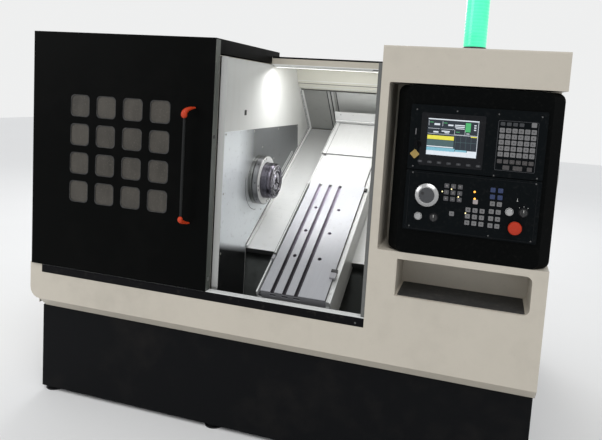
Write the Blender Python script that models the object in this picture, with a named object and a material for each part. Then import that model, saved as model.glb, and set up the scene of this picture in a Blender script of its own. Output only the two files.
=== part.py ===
"""Slant-bed turning lathe with a gang tool plate, modelled piece by piece.

All lengths are in metres. Inside the machine frame X runs from the left side to
the right, Y from the front plane of the cabinet to the back, and Z up from the floor.
Pieces on the slanted bed are drawn along the slant: "along" runs up the slope from
the toe of the tool plate and "rise" stands square to the slope.
"""

import bpy
import bmesh
from math import acos, atan2, cos, hypot, pi, radians, sin
from mathutils import Euler, Matrix, Vector

# Gaps and general sheet metal
GAP = 0.0003
RUN_GAP = 0.0005
SHEET = 0.003
THIN_SHEET = 0.002
OVERRUN = 0.010
ROUND_STEPS = 5
FINE_SEGMENTS = 36
SMALL_SEGMENTS = 16

# Cabinet
WIDTH = 2.120
CABINET_DEPTH = 1.500
CABINET_HEIGHT = 1.600
ROOF_DROP = 0.023
LEFT_ROOF_DROP = 0.037
SKIRT_BOTTOM = 0.440
SKIRT_CHAMFER = 0.042
SKIRT_CORNER = 0.048
SILL_HEIGHT = 0.600
SILL_DEPTH = 0.031
RAIL_START = 0.060
RAIL_HEIGHT = 0.035
RAIL_DEPTH = 0.025

# Base
FOOT_LIFT = 0.018
FOOT_RADIUS = 0.034
FOOT_SINK = 0.006
BASE_SIDE_INSET = 0.036
BASE_RIGHT_INSET = 0.006
BASE_BACK_INSET = 0.020
BASE_WALL = 0.080
BELLY_TOP = 0.340
CHIP_POCKET_FLOOR = 0.120
TUNNEL_LEFT_SHARE = 0.434
TUNNEL_RIGHT_SHARE = 0.8113
TUNNEL_FRONT = 0.560
TUNNEL_FLOOR = 0.040
TUNNEL_TOP = 0.330

# Column with the controls
COLUMN_LEFT_SHARE = 0.708
COLUMN_DEPTH = 0.230
COLUMN_EDGE_ROUND = 0.006
RECESS_INSET = 0.030
RECESS_BOTTOM_SHARE = 0.54125
RECESS_TOP_SHARE = 0.92
RECESS_DEPTH = 0.200
TRAY_INSET = 0.105
TRAY_RIGHT_INSET = 0.050
TRAY_BOTTOM_SHARE = 0.4394
TRAY_TOP_SHARE = 0.525
TRAY_DEPTH = 0.190
TRAY_ROUND = 0.022
SEAL_WIDTH = 0.014
SEAL_DEPTH = 0.030

# Working chamber
CHAMBER_LEFT_SHARE = 0.4014
CHAMBER_RIGHT_SHARE = 0.868
POST_WIDTH = 0.024
POST_SETBACK = 0.062
LINTEL_SETBACK = 0.600
LINTEL_DROP = 0.040
LINTEL_FLANGE = 0.110
CEILING_STEP = 0.018
CEILING_TREAD = 0.120
PAN_LIP = 0.026
PAN_SKIRT_CLEARANCE = 0.006

# Slanted bed, tool plate and slides
SLANT = radians(30)
TOE_Y = 0.054
TOE_LIFT = 0.021
TOOL_PLATE_MIDDLE_SHARE = 0.5656
TOOL_PLATE_WIDTH = 0.268
TOOL_PLATE_LENGTH = 0.720
TOOL_PLATE_THICK = 0.040
SLOT_FIRST = 0.050
SLOT_PITCH = 0.050
SLOT_COUNT = 3
SLOT_WIDTH = 0.014
SLOT_NECK = 0.014
SLOT_HEAD_WIDTH = 0.026
SLOT_HEAD_HEIGHT = 0.010
BOLT_HOLE_RADIUS = 0.007
BOLT_HOLE_DEPTH = 0.012
BOLT_ROW_FIRST = 0.212
BOLT_ROW_PITCH = 0.160
BOLT_ROW_COUNT = 3
BOLT_COLUMN_OFFSET = 0.077
BOLT_COLUMN_PITCH = 0.110
SLIDE_THICK = 0.038
SLIDE_GUTTER = 0.021
SLIDE_FLANGE = 0.014
SLIDE_LIP_WIDTH = 0.006
SLIDE_LIP_DROP = 0.012
SLIDE_LEG = 0.018
X_WAY_HEIGHT = 0.037
X_WAY_WIDTH = 0.046
X_WAY_INSET = 0.040
X_WAY_SETBACK = 0.005
SADDLE_WIDTH = 0.310
SADDLE_START = 0.010
SADDLE_END = 1.245
SADDLE_THICK = 0.045
SADDLE_KEEP_WIDTH = 0.014
SADDLE_KEEP_DROP = 0.022
Z_WAY_HEIGHT = 0.040
Z_WAY_WIDTH = 0.070
Z_WAY_FRONT = 0.400
Z_WAY_BACK = 1.000
Z_WAY_BEHIND_CHAMBER = 0.151
BED_START = 0.335
BED_END = 1.400
BED_LEFT = 0.060
BED_RIGHT_GAP = 0.020
BED_WALL = 0.060
SIDE_CLEARANCE = 0.002

# Feed screws and motors
X_SCREW_RADIUS = 0.010
X_SCREW_DROP = 0.019
X_BLOCK_LENGTH = 0.030
X_BLOCK_WIDTH = 0.060
X_NUT_START = 0.300
X_NUT_LENGTH = 0.060
X_NUT_WIDTH = 0.040
X_MOTOR_SIZE = 0.090
X_MOTOR_LENGTH = 0.094
Z_SCREW_RADIUS = 0.012
Z_SCREW_ALONG = 0.700
Z_SCREW_HEIGHT = 0.021
Z_BLOCK_LENGTH = 0.030
Z_BLOCK_WIDTH = 0.090
Z_NUT_LENGTH = 0.070
Z_NUT_WIDTH = 0.060
Z_MOTOR_SIZE = 0.090
Z_MOTOR_LENGTH = 0.150
MOTOR_CHAMFER = 0.014

# Covers over the ways
COVER_START = 0.330
COVER_END = 1.361
COVER_DROP = 0.118
COVER_LIP = 0.026
COVER_LENGTH = 0.220
COVER_LEFT_MID_REACH = 0.316
COVER_LEFT_MID_LENGTH = 0.232
COVER_RIGHT_MID_REACH = 0.086
COVER_RIGHT_MID_LENGTH = 0.500
HOOD_START = 0.973
HOOD_END = 1.277
HOOD_DROP = 0.004
SHIELD_RISE = 0.072
SHIELD_LEAN = 0.011
SLIDE_COVER_DROP = 0.012
SLIDE_COVER_LENGTH = 0.280
SLIDE_COVER_INSET = 0.010
SLIDE_COVER_SKIRT = 0.026

# Panels round the chamber
PANEL_CLEARANCE = 0.0035
REAR_PANEL_TOP_Y = 1.085
REAR_PANEL_DROP = 0.147
REAR_PANEL_FOOT = 1.366
TRIM_WIDTH = 0.018
TRIM_THICK = 0.004
SPINDLE_PLATE_FRONT = 0.110
SPINDLE_PLATE_BACK = 1.030
SPINDLE_PLATE_TOP = 1.222

# Spindle and headstock
SPINDLE_ALONG = 0.565
SPINDLE_RISE = 0.1045
SPINDLE_REAR_REACH = 0.701
SPINDLE_BORE = 0.028
SPINDLE_TAIL_RADIUS = 0.042
SPINDLE_BODY_RADIUS = 0.058
SPINDLE_FLANGE_RADIUS = 0.098
SPINDLE_FLANGE_WIDTH = 0.022
SPINDLE_NOTCH_RADIUS = 0.020
SPINDLE_NOTCH_COUNT = 4
NOSE_RADIUS = 0.084
NOSE_LENGTH = 0.046
NOSE_BEVEL = 0.006
COLLET_BEVEL = 0.002
NOSE_MOUTH = 0.050
NOSE_MOUTH_DEPTH = 0.012
NOSE_BORE = 0.040
COLLET_BORE = 0.014
COLLET_LENGTH = 0.060
COLLET_SLIT = 0.003
COLLET_SLITS = 3
COLLET_PROUD = 0.004
COLLET_TRAVEL = 0.003
BEARING_COVER_RADIUS = 0.110
BEARING_COVER_WIDTH = 0.018
BEARING_BOSS_RADIUS = 0.092
COVER_TO_FLANGE = 0.002
HEADSTOCK_REACH = 0.521
HEADSTOCK_LENGTH = 0.310
HEADSTOCK_FOOT = 0.185
HEADSTOCK_ROUND = 0.140
SNOUT_RADIUS = 0.104
SNOUT_END_GAP = 0.005
PULLEY_RADIUS = 0.084
PULLEY_WIDTH = 0.050
PULLEY_TO_HEADSTOCK = 0.020
PULLEY_RIM = 0.004
MOTOR_PULLEY_RADIUS = 0.062
MOTOR_PULLEY_HUB = 0.017
MOTOR_ALONG = 0.885
MOTOR_HEIGHT = 0.150
MOTOR_RADIUS = 0.122
MOTOR_LENGTH = 0.290
MOTOR_FOOT_WIDTH = 0.200
MOTOR_FOOT_THICK = 0.060
MOTOR_SHAFT_RADIUS = 0.016
MOTOR_FIN_COUNT = 24
MOTOR_FIN_DEPTH = 0.007
BELT_THICK = 0.008
BELT_WIDTH = 0.034
CYLINDER_RADIUS = 0.078
CYLINDER_LENGTH = 0.095
CYLINDER_NECK = 0.050

# Sliding door
DOOR_LEFT = 0.012
DOOR_OVERLAP = 0.003
DOOR_PROUD = 0.008
DOOR_THICK = 0.042
DOOR_OVER_ROOF = 0.025
DOOR_ROOF_DEPTH = 0.057
DOOR_LINTEL_GAP = 0.002
HOOK_LENGTH = 0.098
DOOR_SKIN = 0.003
WINDOW_SIZE = 0.092
WINDOW_ROUND = 0.018
WINDOW_LEFT_SHARE = 0.278
WINDOW_TOP_SHARE = 0.8127
WINDOW_PITCH_SHARE = 0.1488
WINDOW_PITCH_Z = 0.1205
WINDOW_ROWS = 4
WINDOW_COLUMNS = 4
GLASS_MARGIN = 0.045
GLASS_THICK = 0.006
TOP_RAIL_HEIGHT = 0.008
TOP_RAIL_SETBACK = 0.012
TOP_RAIL_WIDTH = 0.060
HANDLE_INSET = 0.078
HANDLE_TOP_SHARE = 0.8333
HANDLE_LENGTH = 0.470
HANDLE_STANDOFF = 0.055
HANDLE_LEAN = 0.018
HANDLE_RADIUS = 0.011
HANDLE_CAP_RADIUS = 0.0155
HANDLE_CAP_LENGTH = 0.046
HANDLE_CAP_BEND = 0.036
HANDLE_CAP_SINK = 0.006
HANDLE_FOOT_RADIUS = 0.009

# Controls
BOX_INSET = 0.063
BOX_RIGHT_INSET = 0.002
BOX_BOTTOM_GAP = 0.0003
BOX_TOP_GAP = 0.006
BOX_LEFT_BEVEL = 0.034
BOX_RIGHT_BEVEL = 0.036
BOX_BEVEL_DEPTH = 0.030
BOX_ROUND = 0.028
UNIT_WIDTH = 0.452
UNIT_OFFSET = 0.001
UNIT_SPLIT_UP = 0.0015
UNIT_SPLIT_GAP = 0.003
UPPER_UNIT_HEIGHT = 0.228
LOWER_UNIT_HEIGHT = 0.214
UNIT_THICK = 0.008
UNIT_ROUND = 0.006
SCREEN_ACROSS = 0.060
SCREEN_WIDTH = 0.175
SCREEN_BOTTOM_UP = 0.0555
SCREEN_TOP_UP = 0.1815
SCREEN_RECESS = 0.003
SCREEN_THICK = 0.0025
KEY_SIZE = 0.013
KEY_PITCH = 0.0168
KEY_RAISE = 0.0015
ALPHA_ACROSS = 0.310
ALPHA_TOP_UP = 0.1605
ALPHA_COLUMNS = 6
ALPHA_ROWS = 5
SOFT_ACROSS = 0.048
SOFT_TOP_UP = 0.0335
SOFT_PITCH = 0.031
SOFT_COUNT = 7
FIELD_ACROSS = (0.136, 0.214, 0.2915)
FIELD_TOPS_UP = (-0.0385, -0.1140, -0.1150)
FIELD_COLUMNS = (3, 3, 2)
FIELD_ROWS = (3, 3, 3)
FIELD_PITCH = 0.0225
FIELD_KEY = 0.015
DIAL_ACROSS = 0.078
DIAL_UP = -0.0875
DIAL_RADIUS = 0.040
DIAL_THICK = 0.016
DIAL_BEVEL = 0.003
DIAL_DIMPLE_RADIUS = 0.006
DIAL_DIMPLE_OFFSET = 0.026
DIAL_DIMPLE_DEPTH = 0.004
SPIGOT_RADIUS = 0.007
SPIGOT_DEPTH = 0.006
BUTTON_RADIUS = 0.013
BUTTON_RAISE = 0.010
BUTTON_TRAVEL = 0.004
BUTTON_LEFT_ACROSS = 0.053
BUTTON_LEFT_UP = -0.1655
BUTTON_RIGHT_ACROSS = 0.357
BUTTON_RIGHT_UP = -0.1155
SELECTOR_RADIUS = 0.013
SELECTOR_RAISE = 0.008
SELECTOR_GRIP = 0.007
SELECTOR_GRIP_WIDTH = 0.007
SELECTOR_LEFT_ACROSS = 0.107
SELECTOR_LEFT_UP = -0.1625
SELECTOR_RIGHT_ACROSS = 0.402
SELECTOR_RIGHT_UP = -0.1115
STOP_ACROSS = 0.379
STOP_UP = -0.1665
STOP_RADIUS = 0.021
STOP_STEM_RADIUS = 0.012
STOP_RAISE = 0.030
STOP_HEAD = 0.014
STOP_TRAVEL = 0.005
KEY_ACROSS = 0.032
KEY_UP = 0.0915
KEY_BARREL_RADIUS = 0.010
KEY_BARREL_RAISE = 0.006
KEY_BOW_WIDTH = 0.020
KEY_BOW_HEIGHT = 0.026
KEY_BOW_THICK = 0.0025
KEY_BLADE = 0.008
KEY_BLADE_WIDTH = 0.008

# Tower light
TOWER_ACROSS = 0.305
TOWER_Y = 0.115
TOWER_RADIUS = 0.0405
TOWER_HEIGHT = 0.300
TOWER_FOOT = 0.016
TOWER_DOME = 0.012
TOWER_RING_DEPTH = 0.0015
TOWER_RING_HEIGHT = 0.004
TOWER_RINGS = 3

# Back of the machine
BACK_DOOR_LEFT_SHARE = 0.6132
BACK_DOOR_WIDTH = 0.600
BACK_DOOR_BOTTOM = 0.520
BACK_DOOR_BELOW_ROOF = 0.127
BACK_DOOR_THICK = 0.020
BACK_DOOR_OVERLAP = 0.014
BACK_DOOR_HANDLE = 0.022
BACK_HANDLE_WIDTH = 0.028
BACK_HANDLE_HEIGHT = 0.120
BACK_BOX_DEPTH = 0.118
VENT_WIDTH = 0.160
VENT_HEIGHT = 0.008
VENT_PITCH = 0.024
VENT_COUNT = 8
VENT_COLUMNS = 2
VENT_COLUMN_PITCH = 0.240
VENT_LEFT = 0.200
VENT_BELOW_ROOF = 0.397
SIDE_VENT_FRONT = 0.620
SIDE_VENT_BOTTOM = 0.620
TANK_WALL = 0.004
TANK_CLEARANCE = 0.006
TANK_DEPTH_GAP = 0.030
TANK_LID_DEPTH = 0.260
TANK_PUMP_RADIUS = 0.055
TANK_PUMP_HEIGHT = 0.060
TANK_GRIP_WIDTH = 0.160
TANK_GRIP_HEIGHT = 0.030
LAMP_INSET = 0.012
LAMP_LENGTH = 0.620
LAMP_HEIGHT = 0.010
LAMP_WIDTH = 0.034
LAMP_SETBACK = 0.004

# Derived places
ROOF_HEIGHT = CABINET_HEIGHT - ROOF_DROP
LEFT_ROOF_HEIGHT = ROOF_HEIGHT - LEFT_ROOF_DROP
DOOR_TOP = ROOF_HEIGHT + DOOR_OVER_ROOF
WINDOW_TOP = DOOR_TOP * WINDOW_TOP_SHARE
HANDLE_TOP = DOOR_TOP * HANDLE_TOP_SHARE
HANDLE_BOTTOM = HANDLE_TOP - HANDLE_LENGTH
REAR_PANEL_TOP_Z = ROOF_HEIGHT - REAR_PANEL_DROP
RECESS_TOP = CABINET_HEIGHT * RECESS_TOP_SHARE
RECESS_BOTTOM = CABINET_HEIGHT * RECESS_BOTTOM_SHARE
TRAY_BOTTOM = CABINET_HEIGHT * TRAY_BOTTOM_SHARE
TRAY_TOP = CABINET_HEIGHT * TRAY_TOP_SHARE
TOE_Z = SILL_HEIGHT + TOE_LIFT
COLUMN_LEFT = WIDTH * COLUMN_LEFT_SHARE
CHAMBER_LEFT = WIDTH * CHAMBER_LEFT_SHARE
CHAMBER_RIGHT = WIDTH * CHAMBER_RIGHT_SHARE
TUNNEL_LEFT = WIDTH * TUNNEL_LEFT_SHARE
TUNNEL_RIGHT = WIDTH * TUNNEL_RIGHT_SHARE
BED_RIGHT = CHAMBER_RIGHT - BED_RIGHT_GAP
RECESS_LEFT = COLUMN_LEFT + RECESS_INSET
TRAY_LEFT = COLUMN_LEFT + TRAY_INSET
TRAY_RIGHT = WIDTH - TRAY_RIGHT_INSET
HANDLE_REACH = DOOR_PROUD + HANDLE_STANDOFF + HANDLE_CAP_RADIUS
BACK_REACH = BACK_DOOR_THICK + BACK_DOOR_HANDLE
FRONT_PLANE = (HANDLE_REACH - CABINET_DEPTH - BACK_REACH) / 2
LEFT_SIDE = -WIDTH / 2
BASE_TOP = SKIRT_BOTTOM - SKIRT_CHAMFER
RISE_SLIDE = -TOOL_PLATE_THICK
RISE_X_WAY = RISE_SLIDE - SLIDE_THICK
RISE_SADDLE = RISE_X_WAY - X_WAY_HEIGHT
RISE_Z_WAY = RISE_SADDLE - SADDLE_THICK
RISE_BED = RISE_Z_WAY - Z_WAY_HEIGHT
X_SCREW_X = WIDTH * TOOL_PLATE_MIDDLE_SHARE
TOOL_PLATE_LEFT = X_SCREW_X - TOOL_PLATE_WIDTH / 2
TOOL_PLATE_RIGHT = X_SCREW_X + TOOL_PLATE_WIDTH / 2
SADDLE_LEFT = X_SCREW_X - SADDLE_WIDTH / 2
SADDLE_RIGHT = X_SCREW_X + SADDLE_WIDTH / 2
COVER_LEFT_MID_START = SADDLE_LEFT - COVER_LEFT_MID_REACH
COVER_RIGHT_MID_START = SADDLE_RIGHT + COVER_RIGHT_MID_REACH
Z_WAY_START = CHAMBER_LEFT - Z_WAY_BEHIND_CHAMBER
SPINDLE_REAR = CHAMBER_LEFT - SPINDLE_REAR_REACH
HEADSTOCK_LEFT = CHAMBER_LEFT - HEADSTOCK_REACH
HEADSTOCK_RIGHT = HEADSTOCK_LEFT + HEADSTOCK_LENGTH
DOOR_RIGHT = CHAMBER_LEFT + DOOR_OVERLAP
DOOR_WIDTH = DOOR_RIGHT - DOOR_LEFT
WINDOW_LEFT = DOOR_LEFT + DOOR_WIDTH * WINDOW_LEFT_SHARE
WINDOW_PITCH_X = DOOR_WIDTH * WINDOW_PITCH_SHARE
HANDLE_X = DOOR_RIGHT - HANDLE_INSET
DOOR_BOTTOM = SILL_HEIGHT + GAP
X_SCREW_RISE = RISE_X_WAY - X_SCREW_DROP
Z_SCREW_RISE = RISE_BED + Z_SCREW_HEIGHT
FLANGE_START = CHAMBER_LEFT + THIN_SHEET + 2 * GAP + BEARING_COVER_WIDTH + COVER_TO_FLANGE
NOSE_START = FLANGE_START + SPINDLE_FLANGE_WIDTH + GAP
NOSE_END = NOSE_START + NOSE_LENGTH
PULLEY_RIGHT = HEADSTOCK_LEFT - PULLEY_TO_HEADSTOCK
PULLEY_LEFT = PULLEY_RIGHT - PULLEY_WIDTH
BOX_LEFT = COLUMN_LEFT + BOX_INSET
BOX_RIGHT = WIDTH - BOX_RIGHT_INSET
UNIT_SPLIT = (RECESS_BOTTOM + RECESS_TOP) / 2 + UNIT_SPLIT_UP
UPPER_BOTTOM = UNIT_SPLIT + UNIT_SPLIT_GAP / 2
UPPER_TOP = UPPER_BOTTOM + UPPER_UNIT_HEIGHT
LOWER_TOP = UNIT_SPLIT - UNIT_SPLIT_GAP / 2
LOWER_BOTTOM = LOWER_TOP - LOWER_UNIT_HEIGHT
UPPER_LEFT = (BOX_LEFT + BOX_RIGHT - UNIT_WIDTH) / 2 + UNIT_OFFSET
SCREEN_BOTTOM = UNIT_SPLIT + SCREEN_BOTTOM_UP
SCREEN_TOP = UNIT_SPLIT + SCREEN_TOP_UP
ALPHA_TOP = UNIT_SPLIT + ALPHA_TOP_UP
SOFT_HEIGHT = UNIT_SPLIT + SOFT_TOP_UP
DIAL_Z = UNIT_SPLIT + DIAL_UP
BUTTON_LEFT_Z = UNIT_SPLIT + BUTTON_LEFT_UP
BUTTON_RIGHT_Z = UNIT_SPLIT + BUTTON_RIGHT_UP
SELECTOR_LEFT_Z = UNIT_SPLIT + SELECTOR_LEFT_UP
SELECTOR_RIGHT_Z = UNIT_SPLIT + SELECTOR_RIGHT_UP
STOP_Z = UNIT_SPLIT + STOP_UP
KEY_Z = UNIT_SPLIT + KEY_UP
UPPER_RIGHT = UPPER_LEFT + UNIT_WIDTH
SCREEN_LEFT = UPPER_LEFT + SCREEN_ACROSS
SCREEN_RIGHT = SCREEN_LEFT + SCREEN_WIDTH
DIAL_X = UPPER_LEFT + DIAL_ACROSS
BUTTON_LEFT_X = UPPER_LEFT + BUTTON_LEFT_ACROSS
BUTTON_RIGHT_X = UPPER_LEFT + BUTTON_RIGHT_ACROSS
SELECTOR_LEFT_X = UPPER_LEFT + SELECTOR_LEFT_ACROSS
SELECTOR_RIGHT_X = UPPER_LEFT + SELECTOR_RIGHT_ACROSS
STOP_X = UPPER_LEFT + STOP_ACROSS
KEY_X = UPPER_LEFT + KEY_ACROSS
TOWER_X = COLUMN_LEFT + TOWER_ACROSS
BACK_DOOR_LEFT = WIDTH * BACK_DOOR_LEFT_SHARE
BACK_DOOR_HEIGHT = ROOF_HEIGHT - BACK_DOOR_BELOW_ROOF - BACK_DOOR_BOTTOM
VENT_BOTTOM = ROOF_HEIGHT - VENT_BELOW_ROOF
PANEL_RISE = PANEL_CLEARANCE - COVER_DROP
COVER_NEST = THIN_SHEET + GAP

PAINTS = {
    "cream_paint": ((0.72, 0.69, 0.62), 0.45, 0),
    "black_paint": ((0.012, 0.012, 0.013), 0.42, 0),
    "base_paint": ((0.010, 0.011, 0.013), 0.55, 0),
    "white_paint": ((0.82, 0.82, 0.80), 0.40, 0),
    "stainless": ((0.60, 0.60, 0.59), 0.30, 1),
    "ground_steel": ((0.50, 0.50, 0.51), 0.25, 1),
    "dark_steel": ((0.09, 0.09, 0.09), 0.40, 1),
    "cast_iron": ((0.20, 0.21, 0.20), 0.60, 0.3),
    "bright_steel": ((0.66, 0.66, 0.65), 0.18, 1),
    "motor_black": ((0.03, 0.03, 0.03), 0.50, 0),
    "rubber": ((0.02, 0.02, 0.02), 0.80, 0),
    "glass": ((0.45, 0.46, 0.43), 0.15, 0),
    "orange_plastic": ((0.75, 0.10, 0.03), 0.40, 0),
    "grey_plastic": ((0.10, 0.10, 0.105), 0.45, 0),
    "box_plastic": ((0.015, 0.014, 0.013), 0.50, 0),
    "screen_glass": ((0.03, 0.06, 0.08), 0.10, 0),
    "silver_knob": ((0.55, 0.55, 0.55), 0.30, 0.8),
    "red_plastic": ((0.60, 0.02, 0.02), 0.35, 0),
    "brass": ((0.60, 0.42, 0.14), 0.30, 1),
    "green_lens": ((0.02, 0.75, 0.22), 0.20, 0),
    "tank_paint": ((0.30, 0.31, 0.31), 0.50, 0),
}


def clear_scene():
    for old in list(bpy.data.objects):
        bpy.data.objects.remove(old, do_unlink=True)


def paint(name):
    """Return the named finish as a Principled material."""
    made = bpy.data.materials.get(name)
    if made:
        return made
    colour, roughness, metallic = PAINTS[name]
    made = bpy.data.materials.new(name)
    made.use_nodes = True
    shader = made.node_tree.nodes["Principled BSDF"]
    shader.inputs["Base Color"].default_value = (*colour, 1)
    shader.inputs["Roughness"].default_value = roughness
    shader.inputs["Metallic"].default_value = metallic
    made.diffuse_color = (*colour, 1)
    return made


# Outlines

def rect(left, right, low, high):
    return [(left, low), (right, low), (right, high), (left, high)]


def arc(centre, radius, start, end, steps=ROUND_STEPS):
    """Points on an arc, angles in radians, both ends included."""
    turns = [start + (end - start) * step / steps for step in range(steps + 1)]
    return [(centre[0] + radius * cos(turn), centre[1] + radius * sin(turn)) for turn in turns]


def rounded_rect(left, right, low, high, radius):
    corners = (
        (right - radius, low + radius, -pi / 2),
        (right - radius, high - radius, 0),
        (left + radius, high - radius, pi / 2),
        (left + radius, low + radius, pi),
    )
    points = []
    for across, up, start in corners:
        points += arc((across, up), radius, start, start + pi / 2)
    return points


def circle(centre, radius, steps=SMALL_SEGMENTS):
    return arc(centre, radius, 0, 2 * pi, steps)[:-1]


def ribbon(path, thickness):
    """Closed outline of a folded sheet whose outer face follows the path."""
    inner = []
    for index, point in enumerate(path):
        before = path[max(index - 1, 0)]
        after = path[min(index + 1, len(path) - 1)]
        normals = []
        for start, end in ((before, point), (point, after)):
            run = (end[0] - start[0], end[1] - start[1])
            size = hypot(*run)
            if size > 0:
                normals.append((-run[1] / size, run[0] / size))
        first, last = normals[0], normals[-1]
        stretch = 1 + first[0] * last[0] + first[1] * last[1]
        step = ((first[0] + last[0]) / stretch, (first[1] + last[1]) / stretch)
        if len(normals) == 1:
            step = first
        inner.append((point[0] + step[0] * thickness, point[1] + step[1] * thickness))
    return list(path) + inner[::-1]


def slope(along, rise):
    """Machine Y and Z of a point given along the slant and square to it."""
    return (
        TOE_Y + along * cos(SLANT) - rise * sin(SLANT),
        TOE_Z + along * sin(SLANT) + rise * cos(SLANT),
    )


def on_slope(points):
    return [slope(along, rise) for along, rise in points]


# Solids

AXES = {
    "X": lambda a, b, run: (run, a, b),
    "Y": lambda a, b, run: (a, run, b),
    "Z": lambda a, b, run: (a, b, run),
}


def finish_object(name, mesh_builder, material, smooth=False):
    mesh = bpy.data.meshes.new(name)
    bmesh.ops.recalc_face_normals(mesh_builder, faces=mesh_builder.faces)
    mesh_builder.to_mesh(mesh)
    mesh_builder.free()
    made = bpy.data.objects.new(name, mesh)
    bpy.context.scene.collection.objects.link(made)
    made.parent = bpy.data.objects.get("machine")
    if material:
        mesh.materials.append(paint(material))
    if smooth:
        mesh.shade_smooth()
        mesh.set_sharp_from_angle(angle=SLANT)
    return made


def add_prism(mesh_builder, outline, axis, start, end):
    ring = [mesh_builder.verts.new(AXES[axis](a, b, start)) for a, b in outline]
    face = mesh_builder.faces.new(ring)
    swept = bmesh.ops.extrude_face_region(mesh_builder, geom=[face])
    moved = [part for part in swept["geom"] if isinstance(part, bmesh.types.BMVert)]
    shift = Vector(AXES[axis](0, 0, end - start))
    bmesh.ops.translate(mesh_builder, verts=moved, vec=shift)


def prism(name, outline, axis, start, end, material=None, smooth=False):
    builder = bmesh.new()
    add_prism(builder, outline, axis, start, end)
    return finish_object(name, builder, material, smooth)


def prisms(name, outlines, axis, start, end, material=None):
    builder = bmesh.new()
    for outline in outlines:
        add_prism(builder, outline, axis, start, end)
    return finish_object(name, builder, material)


def block(name, left, right, front, back, low, high, material=None):
    return prism(name, rect(left, right, front, back), "Z", low, high, material)


TURN_FRAMES = {
    "X": Matrix(((0, 0, 1), (0, 1, 0), (-1, 0, 0))),
    "Y": Matrix(((1, 0, 0), (0, 0, 1), (0, -1, 0))),
    "Z": Matrix.Identity(3),
}


def turned(name, profile, centre, axis="X", material=None, segments=FINE_SEGMENTS):
    """Revolve a closed profile of (along the axis, radius) about the axis through centre."""
    builder = bmesh.new()
    ring = [builder.verts.new((radius, 0, run)) for run, radius in profile]
    edges = [builder.edges.new((ring[i - 1], ring[i])) for i in range(len(ring))]
    bmesh.ops.spin(
        builder, geom=ring + edges, axis=(0, 0, 1), cent=(0, 0, 0), angle=2 * pi,
        steps=segments, use_merge=True,
    )
    bmesh.ops.remove_doubles(builder, verts=builder.verts, dist=GAP / 10)
    bmesh.ops.transform(builder, matrix=TURN_FRAMES[axis].to_4x4(), verts=builder.verts)
    made = finish_object(name, builder, material, smooth=bool(material))
    made.location = centre
    return made


def tilt(made):
    """Stand an object drawn along the slant on the slanted bed."""
    made.location = (0, TOE_Y, TOE_Z)
    made.rotation_euler = Euler((SLANT, 0, 0))
    return made


def move_origin(made, point):
    """Put the object's origin on its joint axis without moving its form."""
    made.data.transform(Matrix.Translation(-Vector(point)))
    made.location = point
    return made


def shape_with(made, tool, operation="DIFFERENCE"):
    tool.hide_render = True
    tool.display_type = "WIRE"
    change = made.modifiers.new(tool.name, "BOOLEAN")
    change.operation = operation
    change.solver = "EXACT"
    change.object = tool
    return made


def add_to(made, tool):
    return shape_with(made, tool, "UNION")


def bore_for(radius, segments=FINE_SEGMENTS):
    """Radius of a faceted bore in which a faceted shaft of this radius turns freely."""
    return radius / cos(pi / segments) + RUN_GAP


def rod(start, end, radius):
    return [(start, 0), (end, 0), (end, radius), (start, radius)]


# Base and bed

def base_frame():
    """Black base with a chip pocket, two open bellies, a tank tunnel and its feet."""
    left = BASE_SIDE_INSET
    right = WIDTH - BASE_RIGHT_INSET
    back = CABINET_DEPTH - BASE_BACK_INSET
    made = block("base_frame", left, right, SKIRT_CHAMFER, back, FOOT_LIFT, BASE_TOP - GAP, "base_paint")
    front = SKIRT_CHAMFER + BASE_WALL
    middle = TUNNEL_LEFT - BASE_WALL
    far = TUNNEL_RIGHT + BASE_WALL
    bellies = (
        rect(left + BASE_WALL, middle, front, back - BASE_WALL),
        rect(far, right - BASE_WALL, front, back - BASE_WALL),
    )
    shape_with(made, prisms("cut_bellies", bellies, "Z", FOOT_LIFT - OVERRUN, BELLY_TOP))
    pocket_back = slope(BED_START, RISE_BED)[0]
    pocket = block(
        "cut_chip_pocket", CHAMBER_LEFT + SHEET, BED_RIGHT - BASE_WALL, PAN_LIP + BASE_WALL,
        pocket_back, CHIP_POCKET_FLOOR, BASE_TOP + OVERRUN,
    )
    shape_with(made, pocket)
    tunnel = block(
        "cut_tunnel", TUNNEL_LEFT, TUNNEL_RIGHT, TUNNEL_FRONT, back + OVERRUN, TUNNEL_FLOOR, TUNNEL_TOP,
    )
    shape_with(made, tunnel)
    builder = bmesh.new()
    half = BASE_WALL / 2
    for across in (left + half, middle + half, right - half):
        for deep in (SKIRT_CHAMFER + half, back - half):
            add_prism(builder, circle((across, deep), FOOT_RADIUS), "Z", 0, FOOT_LIFT + FOOT_SINK)
    feet = finish_object("add_feet", builder, None)
    return add_to(made, feet)


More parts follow.
